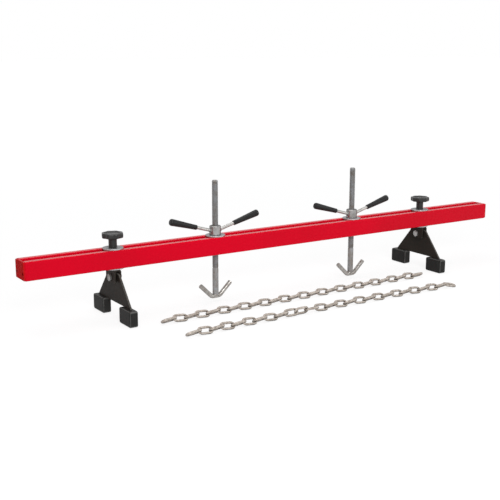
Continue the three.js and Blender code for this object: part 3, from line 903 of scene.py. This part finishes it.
for side in SIDES:
    low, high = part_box(f"{side}_foot_plate")
    half = (high.y - low.y) / 2
    shelf = low.z + TONGUE_LENGTH
    right = [
        (0, high.z), (PLATE_TOP_HALF, high.z - PLATE_ROOF), (half, shelf), (TONGUE_OUTER, shelf),
        (TONGUE_OUTER, low.z), (TONGUE_INNER, low.z), (TONGUE_INNER, shelf),
    ]
    outline = right + [(-y, z) for y, z in reversed(right[1:])]
    plate = placed(cut_plate([outline], PLATE_THICK, PLATE_EDGE),
                   at(high.x - PLATE_THICK / 2, BAR_Y, 0) @ YZ_PLANE)
    boss = placed(rounded_ring(BOSS_HOLE, BOSS_RADIUS, 0, high.x - low.x - PLATE_THICK / 2,
                               SHEET_EDGE, BOSS_SIDES), at(low.x, BAR_Y, PIVOT_Z) @ Z_TO_X)
    piece(f"{side}_foot_sheet", joined(plate, boss), BLACK_PAINT, f"{side}_foot",
          [f"{side}_foot_plate"])
    print(side, "foot plate", high - low)

# %% [markdown]
# Each pad is a rubber block with soft edges and corners. The mould leaves a narrow groove in one
# broad face, close to the end, that stops short of the sole, and the same on the other face at the
# other end. A boolean cut makes the grooves, as they have sharp walls in a soft block.

# %% Rubber pads
PAD_CORNER = 5.5 * MM
PAD_CORNER_STEPS = 8
PAD_EDGE = 2.6 * MM
PAD_EDGE_STEPS = 4
GROOVE_WIDTH = 1.8 * MM
GROOVE_DEPTH = 2.2 * MM
GROOVE_FROM_END = 2.6 * MM
GROOVE_FOOT = 12 * MM
CUT_PAST = 1 * MM


def pad_shape(low, high):
    outline = rounded_loop(low.y, high.y, low.z, high.z, PAD_CORNER, PAD_CORNER_STEPS)
    pad = placed(cut_plate([outline], high.x - low.x, PAD_EDGE, PAD_EDGE_STEPS),
                 at((low.x + high.x) / 2, 0, 0) @ YZ_PLANE)
    front_y = low.y + GROOVE_FROM_END
    back_y = high.y - GROOVE_FROM_END
    return carved(pad, joined(
        block((low.x - CUT_PAST, front_y, low.z + GROOVE_FOOT),
              (low.x + GROOVE_DEPTH, front_y + GROOVE_WIDTH, high.z + CUT_PAST)),
        block((high.x - GROOVE_DEPTH, back_y - GROOVE_WIDTH, low.z + GROOVE_FOOT),
              (high.x + CUT_PAST, back_y, high.z + CUT_PAST)),
    ))


for side in SIDES:
    for which in ("front", "rear"):
        low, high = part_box(f"{side}_{which}_pad")
        piece(f"{side}_{which}_rubber", pad_shape(low, high), PAD_RUBBER, f"{side}_foot",
              [f"{side}_{which}_pad"], sharp=60)
        print(side, which, "pad", high - low)

# %% [markdown]
# Bolt heads and nuts are hexagons whose corners are turned down on a lathe. Cutting a hexagon by
# a cone would do that here too, but lowering each point by how far it lies outside the flats
# gives the same curve without a cut.

# %% Hexagons
FLATS = 17 * MM
HEX_SIDES = 48
CORNER_START = 0.97
FACE_RADIUS = 0.94 * FLATS / 2
CORNER_SLOPE = math.tan(math.radians(30))
SIXTH = math.pi / 3


def hex_radius(angle):
    """How far a hexagon's outline lies from its middle at an angle."""
    in_sector = (angle + SIXTH / 2) % SIXTH - SIXTH / 2
    return FLATS / 2 / math.cos(SIXTH / 2 - abs(in_sector))


def hex_body(height, both_ends, hole=0):
    """A hexagon prism along Z with its corners turned down at the top, or at both ends."""
    points = []
    rings = [(hole, 0), (FACE_RADIUS, 0), (None, 0), (None, 1), (FACE_RADIUS, 1), (hole, 1)]
    for size, top in rings:
        for k in range(HEX_SIDES):
            angle = math.tau * k / HEX_SIDES
            radius = hex_radius(angle) if size is None else size
            drop = max(0, radius - FLATS / 2 * CORNER_START) * CORNER_SLOPE
            z = height - drop if top else drop if both_ends else 0
            points.append(on_circle(radius, angle, z))
    return points, skin(len(rings), HEX_SIDES, closed=hole > 0, capped=False)


# %% [markdown]
# The pivot bolt passes through the hanger and the foot plate. Its head is a hexagon on a thin
# washer face, with a low crown, and its nut on the other cheek is the same across the flats. Each
# part is turned or set along Z, where it is easy to write, and is then laid along the bar.

# %% Pivot bolts and nuts
BOLT_RADIUS = 5 * MM
BOLT_CHAMFER = 1.2 * MM
BOLT_IN_HEAD = 1 * MM
NUT_HOLE = 5.15 * MM
CROWN = 1.4 * MM
# (radius in mm, height in mm over the hexagon's top) where the crown starts
CROWN_FOOT = [(0, -0.5), (7.2, -0.5), (7.1, 0.1)]
# (radius in mm, share of the crown's height below its top)
CROWN_PROFILE = [(6.4, 0.55), (5.2, 0.28), (3.5, 0.1), (1.8, 0.02)]
WASHER_FACE = [(0, -0.3), (7.9, -0.3), (8.1, 0.5), (0, 0.5)]


def bolt_shape(head, shank):
    """A bolt along X. Its head stands out backwards from the middle and its shank forwards."""
    rim = head - CROWN
    crown = [(radius * MM, rim + height * MM) for radius, height in CROWN_FOOT]
    crown += [(radius * MM, head - CROWN * share) for radius, share in CROWN_PROFILE]
    face = [(radius * MM, height * MM) for radius, height in WASHER_FACE]
    head_end = joined(hex_body(rim, False), turned(face), turned(crown + [(0, head)]))
    rod = turned([
        (0, -BOLT_IN_HEAD), (BOLT_RADIUS, -BOLT_IN_HEAD), (BOLT_RADIUS, shank - BOLT_CHAMFER),
        (BOLT_RADIUS - BOLT_CHAMFER, shank), (0, shank),
    ])
    return joined(placed(head_end, Z_TO_BACK_X), placed(rod, Z_TO_X))


for side in SIDES:
    low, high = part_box(f"{side}_pivot_bolt")
    cheek_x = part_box(f"{side}_swivel_hanger")[0].x
    bolt = placed(bolt_shape(cheek_x - low.x, high.x - cheek_x), at(cheek_x, BAR_Y, PIVOT_Z))
    piece(f"{side}_hex_bolt", bolt, HUB_STEEL, f"{side}_foot_swivel",
          [f"{side}_pivot_bolt"])
    low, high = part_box(f"{side}_pivot_nut")
    nut = placed(hex_body(high.x - low.x, True, NUT_HOLE), at(low.x, BAR_Y, PIVOT_Z) @ Z_TO_X)
    piece(f"{side}_hex_nut", nut, HUB_STEEL, f"{side}_foot_swivel",
          [f"{side}_pivot_nut"])
print("pivot bolts at height", PIVOT_Z)

# %% [markdown]
# The lifting screw is cut with a metric thread for most of its length, and its lower end stays a
# plain shank. The core is a lathe shape at the thread's root, and the ridge is a closed strip
# with the thread's own section, wound round it and faded out at both ends.

# %% Lifting screws
THREAD_PITCH = 2 * MM
THREAD_CREST = 8.0 * MM
THREAD_ROOT = 6.9 * MM
THREAD_SINK = 0.15 * MM
SHANK_RADIUS = 7.95 * MM
SCREW_SIDES = 40
SCREW_CHAMFER = 0.6 * MM
THREAD_BELOW_BAR = 40 * MM
TURN_STEPS = 24
FADE_TURNS = 0.75
LEAST_FADE = 0.02
# (place along half a pitch, share of the thread's depth)
THREAD_SECTION = ((-0.86, 0), (-0.14, 1), (0.14, 1), (0.86, 0))


def thread_ridge(low, high):
    turns = (high - low) / THREAD_PITCH
    steps = round(turns * TURN_STEPS)
    foot = THREAD_ROOT - THREAD_SINK
    points = []
    for i in range(steps + 1):
        turn = i / TURN_STEPS
        fade = max(LEAST_FADE, min(1, turn / FADE_TURNS, (turns - turn) / FADE_TURNS))
        for along, up in THREAD_SECTION:
            radius = foot + (THREAD_CREST - foot) * up * fade
            z = low + turn * THREAD_PITCH + along * THREAD_PITCH / 2
            points.append(on_circle(radius, math.tau * turn, z))
    return points, skin(steps + 1, len(THREAD_SECTION))


def screw_shape(low, high):
    thread_low = UNDER_Z - THREAD_BELOW_BAR
    core = turned([
        (0, low), (SHANK_RADIUS, low), (SHANK_RADIUS, thread_low - THREAD_PITCH),
        (THREAD_ROOT, thread_low), (THREAD_ROOT, high - SCREW_CHAMFER),
        (THREAD_ROOT - SCREW_CHAMFER, high), (0, high),
    ], SCREW_SIDES)
    return joined(core, thread_ridge(thread_low, high - 2 * SCREW_CHAMFER))


for side in SIDES:
    low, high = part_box(f"{side}_lifting_rod")
    screw = placed(screw_shape(low.z, high.z), at(SCREW_X[side], BAR_Y, 0))
    piece(f"{side}_threaded_screw", screw, SCREW_STEEL, f"{side}_lifting_screw",
          [f"{side}_lifting_rod"], sharp=50)
    print(side, "screw from", low.z, "to", high.z)

# %% [markdown]
# The hand nut is a round hub turned from bar, with a raised collar where each handle goes in. The
# hub is lifted off its washer by a hair, so that it can turn on it without touching.

# %% Hubs of the hand nuts
HUB_RADIUS = 15 * MM
HUB_FOOT_CHAMFER = 0.6 * MM
HUB_CHAMFER = 1.3 * MM
HUB_BORE_CHAMFER = 2.2 * MM
HUB_CLEAR = 0.05 * MM
HUB_SIDES = 64
HANDLE_TILT = math.radians(16)
HANDLE_HEIGHT = 8.5 * MM
HANDLE_RADIUS = 4.25 * MM
COLLAR_START = 13.2 * MM
COLLAR_END = 16.6 * MM
COLLAR_RADIUS = 6.3 * MM
COLLAR_EDGE = 0.9 * MM
HANDLE_SIDES = 32
# the way in which the outer and the inner handle of each nut point along the bar
HANDLE_WAYS = {"left": {"outer": -1, "inner": 1}, "right": {"outer": 1, "inner": -1}}


def handle_axis(side, way):
    """Lays Z along a handle: up and outwards from the screw's axis."""
    tilt = Matrix.Rotation(way * (math.pi / 2 - HANDLE_TILT), 4, "Y")
    return at(SCREW_X[side], BAR_Y, WASHER_TOP + HANDLE_HEIGHT) @ tilt


def hub_shape(low, high):
    return turned([
        (ROD_HOLE, low), (HUB_RADIUS - HUB_FOOT_CHAMFER, low),
        (HUB_RADIUS, low + HUB_FOOT_CHAMFER),
        (HUB_RADIUS, high - HUB_CHAMFER), (HUB_RADIUS - HUB_CHAMFER, high),
        (ROD_HOLE + HUB_BORE_CHAMFER, high), (ROD_HOLE, high - HUB_BORE_CHAMFER),
    ], HUB_SIDES)


def make_hub(side):
    low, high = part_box(f"{side}_hand_nut")
    hub = placed(hub_shape(low.z + HUB_CLEAR, high.z), at(SCREW_X[side], BAR_Y, 0))
    collar = rounded_ring(HANDLE_RADIUS, COLLAR_RADIUS, COLLAR_START, COLLAR_END, COLLAR_EDGE,
                          HANDLE_SIDES)
    collars = [placed(collar, handle_axis(side, way)) for way in (-1, 1)]
    piece(f"{side}_nut_hub", joined(hub, *collars), HUB_STEEL, f"{side}_nut",
          [f"{side}_hand_nut"])


# %% [markdown]
# Two plain round bars are set in each hub at an angle, and their grips are dipped rubber sleeves
# that swell towards their rounded ends. All four are alike, so one bar and one grip are turned,
# and each is laid along its own handle's axis.

# %% Handles and grips
HANDLE_START = 10.5 * MM
HANDLE_END = 126 * MM
GRIP_PLAY = 0.1 * MM
BORE_END = HANDLE_END + 1 * MM
GRIP_SIDES = 40
# (distance along the handle, radius) of a grip's outside
GRIP_PROFILE = [
    (58, 5.2), (58.2, 6.0), (58.9, 6.4), (62, 6.45), (80, 7.05), (100, 7.8), (118, 8.5),
    (129, 8.95), (133, 9.0), (135.4, 8.5), (137, 7.3), (137.8, 5.6), (138, 3.5), (138, 0),
]

handle = turned([
    (0, HANDLE_START), (HANDLE_RADIUS, HANDLE_START), (HANDLE_RADIUS, HANDLE_END), (0, HANDLE_END),
], HANDLE_SIDES)
bore = HANDLE_RADIUS + GRIP_PLAY
grip = turned(
    [(0, BORE_END), (bore, BORE_END), (bore, GRIP_PROFILE[0][0] * MM)]
    + [(radius * MM, along * MM) for along, radius in GRIP_PROFILE], GRIP_SIDES)
for side in SIDES:
    make_hub(side)
    for place, way in HANDLE_WAYS[side].items():
        piece(f"{side}_{place}_handle_rod", placed(handle, handle_axis(side, way)), BAR_STEEL,
              f"{side}_nut", [f"{side}_{place}_handle_bar"])
        piece(f"{side}_{place}_grip_sleeve", placed(grip, handle_axis(side, way)), GRIP_RUBBER,
              f"{side}_nut", [f"{side}_{place}_grip"], sharp=55)
print("hand nuts on", SCREW_X, "with handles to", HANDLE_END)

# %% [markdown]
# The hook is a round bar bent twice, so that its two arms stand up at either side of the screw.
# Its path has a straight foot, two bends and two straight arms, and the ends are cut square with
# a small chamfer. One arm's points are worked out and mirrored for the other, so both are alike.

# %% Hooks: the bent bar
HOOK_RADIUS = 5.8 * MM
HOOK_FLAT = 12 * MM
HOOK_BEND = 5.4 * MM
HOOK_REACH = 46 * MM
HOOK_RISE = 33 * MM
HOOK_SIDES = 28
BEND_STEPS = 10
END_CHAMFER = 0.9 * MM


def hook_shape(floor):
    low = floor + HOOK_RADIUS
    corner = Vector((HOOK_FLAT, 0, low))
    end = Vector((HOOK_REACH, 0, low + HOOK_RISE))
    arm = (end - corner).normalized()
    first = corner - X_WAY * HOOK_BEND
    last = corner + arm * HOOK_BEND
    right = []
    for i in range(BEND_STEPS + 1):
        t = i / BEND_STEPS
        right.append(first * (1 - t) ** 2 + corner * (2 * t * (1 - t)) + last * t ** 2)
    right += [end - arm * END_CHAMFER, end]
    left = [Vector((-p.x, 0, p.z)) for p in reversed(right)]
    radii = [HOOK_RADIUS] * (2 * len(right))
    radii[0] = radii[-1] = HOOK_RADIUS - END_CHAMFER
    return swept(left + right, radii, HOOK_SIDES)


# %% [markdown]
# The bar is welded across the screw's foot. A bead lies round the screw there and dips at the
# sides, where the round bar falls away. It is part of the hook's piece, as it is bare metal too.

# %% Hooks: the weld under the screw
FOOT_WELD_STEPS = 48
FOOT_WELD_RADIUS = SHANK_RADIUS - 0.3 * MM
FOOT_WELD_THICK = 1.5 * MM
FOOT_WELD_WAVER = 0.25 * MM
FOOT_WELD_DIP = 2.6 * MM
FOOT_WELD_WAVES = (5, 11)
FOOT_WELD_LIFT = 1 * MM


def foot_weld(height):
    sections = []
    for i in range(FOOT_WELD_STEPS):
        angle = math.tau * i / FOOT_WELD_STEPS
        out = on_circle(1, angle, 0)
        dip = FOOT_WELD_DIP * math.sin(angle) ** 2
        centre = Z_WAY * (height - dip) + out * (FOOT_WELD_RADIUS - dip / 2)
        waver = FOOT_WELD_WAVER
        for waves in FOOT_WELD_WAVES:
            waver *= math.sin(waves * angle)
        sections.append((centre, out, Z_WAY, FOOT_WELD_THICK + waver))
    return bead(sections)


for side in SIDES:
    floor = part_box(f"{side}_lifting_hook")[0].z
    rod_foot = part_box(f"{side}_lifting_rod")[0].z
    shape = joined(hook_shape(floor), foot_weld(rod_foot + FOOT_WELD_LIFT))
    piece(f"{side}_bent_hook", placed(shape, at(SCREW_X[side], BAR_Y, 0)), HOOK_STEEL,
          f"{side}_lifting_screw", [f"{side}_lifting_hook"])
    print(side, "hook stands at", floor)

# %% [markdown]
# A chain link is a piece of wire bent to a long loop and butt welded in the middle of one side,
# where it is a little thicker. One link is swept here and serves for all of them.

# %% Chains: one link
WIRE = 3 * MM
WIRE_SIDES = 14
LINK_WIDTH = 21.2 * MM
LINK_INNER = 31.9 * MM
LINK_ARC = LINK_WIDTH / 2 - WIRE
LINK_END = 1.26 * LINK_ARC
LINK_STRAIGHT = LINK_INNER / 2 + WIRE - LINK_END
ARC_STEPS = 12
SIDE_STEPS = 8
BUTT_SWELL = 0.13
BUTT_HALF = 2.6 * MM
BUTT_ABOVE = 0.9 * LINK_ARC


def butt_radius(point):
    near = max(0, 1 - abs(point.x) / BUTT_HALF) if point.z > BUTT_ABOVE else 0
    return WIRE * (1 + BUTT_SWELL * near)


def link_shape():
    path = []
    for way in (1, -1):
        for i in range(ARC_STEPS + 1):
            angle = i * math.pi / ARC_STEPS - math.pi / 2
            path.append(Vector((way * (LINK_STRAIGHT + LINK_END * math.cos(angle)), 0,
                                way * LINK_ARC * math.sin(angle))))
        for i in range(1, SIDE_STEPS):
            x = way * LINK_STRAIGHT * (1 - 2 * i / SIDE_STEPS)
            path.append(Vector((x, 0, way * LINK_ARC)))
    return swept(path, [butt_radius(point) for point in path], WIRE_SIDES, closed=True)


LINK = link_shape()
print("link", LINK_INNER + 4 * WIRE, "long and", LINK_WIDTH, "wide")

# %% [markdown]
# The links lie turned against each other like the teeth of a zigzag: one leans on the floor, the
# next stands on its edge, and the joints between them are low and high in turn. The path, the
# rolls and the heights repeat those of the CAD model. The front chain has a twist of three links
# in its middle, and its last link lies down.

# %% Chains: how each link lies
STANDING = 48
LYING = -36
JOINT_RISE = 1.3 * MM
CLIMB_RUN = 31.5 * MM
LINKS_PER_PIECE = 3
PIECES = 9
LAST_LINK = LINKS_PER_PIECE * PIECES
CHAIN_Z = 9.632 * MM
CHAINS = [
    {"name": "rear_chain", "y": -120.5 * MM, "heading": 1.2, "turn": 0, "rolls": {},
     "flip_after": LAST_LINK, "end_z": CHAIN_Z - JOINT_RISE},
    {"name": "front_chain", "y": -242.2 * MM, "heading": 2.76, "turn": -0.61,
     "rolls": {9: 50, 10: 106, 11: 162, 26: 12}, "flip_after": 9, "end_z": 4.4 * MM},
]


def lies(chain, number):
    return (number % 2 == 0) != (number > chain["flip_after"])


def joint_z(chain, number):
    """The height of the joint before a link."""
    if number == LAST_LINK:
        return chain["end_z"]
    low = lies(chain, number) and number not in chain["rolls"]
    return CHAIN_Z - JOINT_RISE if low else CHAIN_Z + JOINT_RISE


def link_turn(chain, number, yaw):
    climb = joint_z(chain, number + 1) - joint_z(chain, number)
    roll = chain["rolls"].get(number, LYING if lies(chain, number) else STANDING)
    heading = Matrix.Rotation(yaw, 4, "Z") @ Matrix.Rotation(-math.atan2(climb, CLIMB_RUN), 4, "Y")
    return heading @ Matrix.Rotation(math.radians(roll - 90), 4, "X")


# %% [markdown]
# Three links make one piece, as in the CAD model, and three pieces ride on each of the chain's
# bodies: its left run, its middle and its right run. The chain turns a little at each piece, so it
# lies in a gentle bow.

# %% Chains: all links
TIGHT_PITCH = 32.1 * MM
LOOSE_PITCH = 30.6 * MM
CHAIN_START = -426.42 * MM
RUNS = ("left_run", "middle", "right_run")

for chain in CHAINS:
    yaw = math.radians(chain["heading"])
    spot = Vector((CHAIN_START, BAR_Y + chain["y"], 0))
    for number in range(PIECES):
        links = []
        for k in range(LINKS_PER_PIECE):
            index = number * LINKS_PER_PIECE + k
            spot.z = (joint_z(chain, index) + joint_z(chain, index + 1)) / 2
            links.append(placed(LINK, Matrix.Translation(spot) @ link_turn(chain, index, yaw)))
            pitch = TIGHT_PITCH if k < LINKS_PER_PIECE - 1 else LOOSE_PITCH
            spot = spot + Vector((math.cos(yaw), math.sin(yaw), 0)) * pitch
        run = RUNS[number * len(RUNS) // PIECES]
        piece(f"{chain['name']}_links_{number + 1}", joined(*links), CHAIN_WIRE,
              f"{chain['name']}_{run}", [f"{chain['name']}_piece_{number + 1}"],
              sharp=60)
        yaw += math.radians(chain["turn"])
    print(chain["name"], "ends at", spot)

# %% [markdown]
# The stage is a pale floor and soft light, as in a studio. The camera and mirrors see a white
# room, and all other rays see a darker one. That keeps the background white without more light
# on the object.


# %% What the camera and mirrors see
def seen_directly(tree):
    """1 for camera, mirror and glass rays, else 0."""
    path = tree.nodes.new("ShaderNodeLightPath").outputs
    both = worked_out(tree, "MAXIMUM", path["Is Camera Ray"], path["Is Glossy Ray"])
    return worked_out(tree, "MAXIMUM", both, path["Is Transmission Ray"])


def chosen(tree, hidden, seen):
    """The hidden shader, or the seen one where a ray comes straight from the camera."""
    choose = tree.nodes.new("ShaderNodeMixShader")
    for value, socket in zip((seen_directly(tree), hidden, seen), choose.inputs):
        tree.links.new(value, socket)
    return choose.outputs[0]


# %% [markdown]
# The floor glows a little, and more so far away, so that it meets the white room without a line
# and still keeps the object's shadow. It lies half a millimetre below the pads' soles.

# %% Floor
FLOOR_HALF = 30
FLOOR_BELOW = 0.0005
FLOOR_GLOW = 0.83
FULL_GLOW = 1.0
FLOOR_SHADE = 0.22
FLOOR_BOUNCE = 0.75
GLOW_NEAR = 1.0
GLOW_FAR = 5.0


def floor_material():
    made = bpy.data.materials.new("Pale studio floor")
    made.use_nodes = True
    tree = made.node_tree
    tree.nodes.clear()
    bounce = tree.nodes.new("ShaderNodeBsdfDiffuse")
    bounce.inputs["Color"].default_value = (FLOOR_BOUNCE, FLOOR_BOUNCE, FLOOR_BOUNCE, 1)
    shade = tree.nodes.new("ShaderNodeBsdfDiffuse")
    shade.inputs["Color"].default_value = (FLOOR_SHADE, FLOOR_SHADE, FLOOR_SHADE, 1)
    away = tree.nodes.new("ShaderNodeVectorMath")
    away.operation = "LENGTH"
    tree.links.new(tree.nodes.new("ShaderNodeTexCoord").outputs["Object"], away.inputs[0])
    glow = tree.nodes.new("ShaderNodeEmission")
    strength = spread(tree, away.outputs["Value"], GLOW_NEAR, GLOW_FAR, FLOOR_GLOW, FULL_GLOW)
    tree.links.new(strength, glow.inputs["Strength"])
    shown = tree.nodes.new("ShaderNodeAddShader")
    tree.links.new(shade.outputs[0], shown.inputs[0])
    tree.links.new(glow.outputs[0], shown.inputs[1])
    out = tree.nodes.new("ShaderNodeOutputMaterial")
    tree.links.new(chosen(tree, bounce.outputs[0], shown.outputs[0]), out.inputs["Surface"])
    return made


floor_mesh = bpy.data.meshes.new("studio_floor")
corners = [(x * FLOOR_HALF, y * FLOOR_HALF, 0) for x, y in ((-1, -1), (1, -1), (1, 1), (-1, 1))]
floor_mesh.from_pydata(corners, [], [(0, 1, 2, 3)])
floor_mesh.materials.append(floor_material())
studio_floor = added("studio_floor", floor_mesh)
studio_floor.location.z = -FLOOR_BELOW
print("floor", 2 * FLOOR_HALF, "m wide")

# %% [markdown]
# The room's own light is weak and a little cool. The key lamp is large and stands in front, near
# the camera, a weaker one lights the right, and a wide one hangs above. The left end faces none of
# them, so it falls into shade.

# %% World and lamps
ROOM_LIGHT = 0.30
ROOM_COLOR = (0.97, 0.98, 1.0, 1)
# name, place, size, power, what it points at
LAMPS = [
    ("key", (-1.1, -3.0, 1.6), 1.5, 62, (0, 0, 0.1)),
    ("top", (-0.2, 0.3, 2.8), 2.4, 34, (0, 0, 0.1)),
    ("right", (2.4, -2.4, 1.3), 1.6, 16, (0.3, 0, 0.1)),
]

scene.world = bpy.data.worlds.new("Studio room")
scene.world.use_nodes = True
room = scene.world.node_tree
room.nodes.clear()
lit = room.nodes.new("ShaderNodeBackground")
lit.inputs["Color"].default_value = ROOM_COLOR
lit.inputs["Strength"].default_value = ROOM_LIGHT
white = room.nodes.new("ShaderNodeBackground")
white.inputs["Color"].default_value = WHITE
room_out = room.nodes.new("ShaderNodeOutputWorld")
room.links.new(chosen(room, lit.outputs[0], white.outputs[0]), room_out.inputs["Surface"])

for name, place, size, power, target in LAMPS:
    lamp = bpy.data.lights.new(name, "AREA")
    lamp.size = size
    lamp.energy = power
    stand = added(name, lamp)
    stand.location = place
    facing = Vector(target) - Vector(place)
    stand.rotation_euler = facing.to_track_quat("-Z", "Y").to_euler()
    print("lamp", name, power, "W")

# %% [markdown]
# The camera stands where the photograph's camera stood. Its place was found by fitting the
# bar's ends, the knobs, the screws and the pads to the photograph, and it is written here as an
# angle and a distance from a point under the bar.

# %% Camera
CAMERA_AZIMUTH = math.radians(-32.976)
CAMERA_ELEVATION = math.radians(12.475)
CAMERA_ROLL = math.radians(0.08)
CAMERA_DISTANCE = 2.5145
CAMERA_LENS = 67.5
SENSOR_WIDTH = 36
AIM_X = -0.114
AIM_BELOW_BAR = 0.00535
AIM = Vector((AIM_X, BAR_Y, UNDER_Z - AIM_BELOW_BAR))

back = Vector((
    math.sin(CAMERA_AZIMUTH) * math.cos(CAMERA_ELEVATION),
    -math.cos(CAMERA_AZIMUTH) * math.cos(CAMERA_ELEVATION),
    math.sin(CAMERA_ELEVATION),
))
camera_data = bpy.data.cameras.new("photo camera")
camera_data.lens = CAMERA_LENS
camera_data.sensor_width = SENSOR_WIDTH
camera_data.clip_start = 0.05
camera_data.clip_end = 200
camera = added("photo camera", camera_data)
camera.location = AIM + back * CAMERA_DISTANCE
aimed = (-back).to_track_quat("-Z", "Y").to_matrix().to_4x4()
camera.rotation_euler = (aimed @ Matrix.Rotation(CAMERA_ROLL, 4, "Z")).to_euler()
scene.camera = camera
scene.view_settings.view_transform = "Standard"
print("camera at", camera.location)
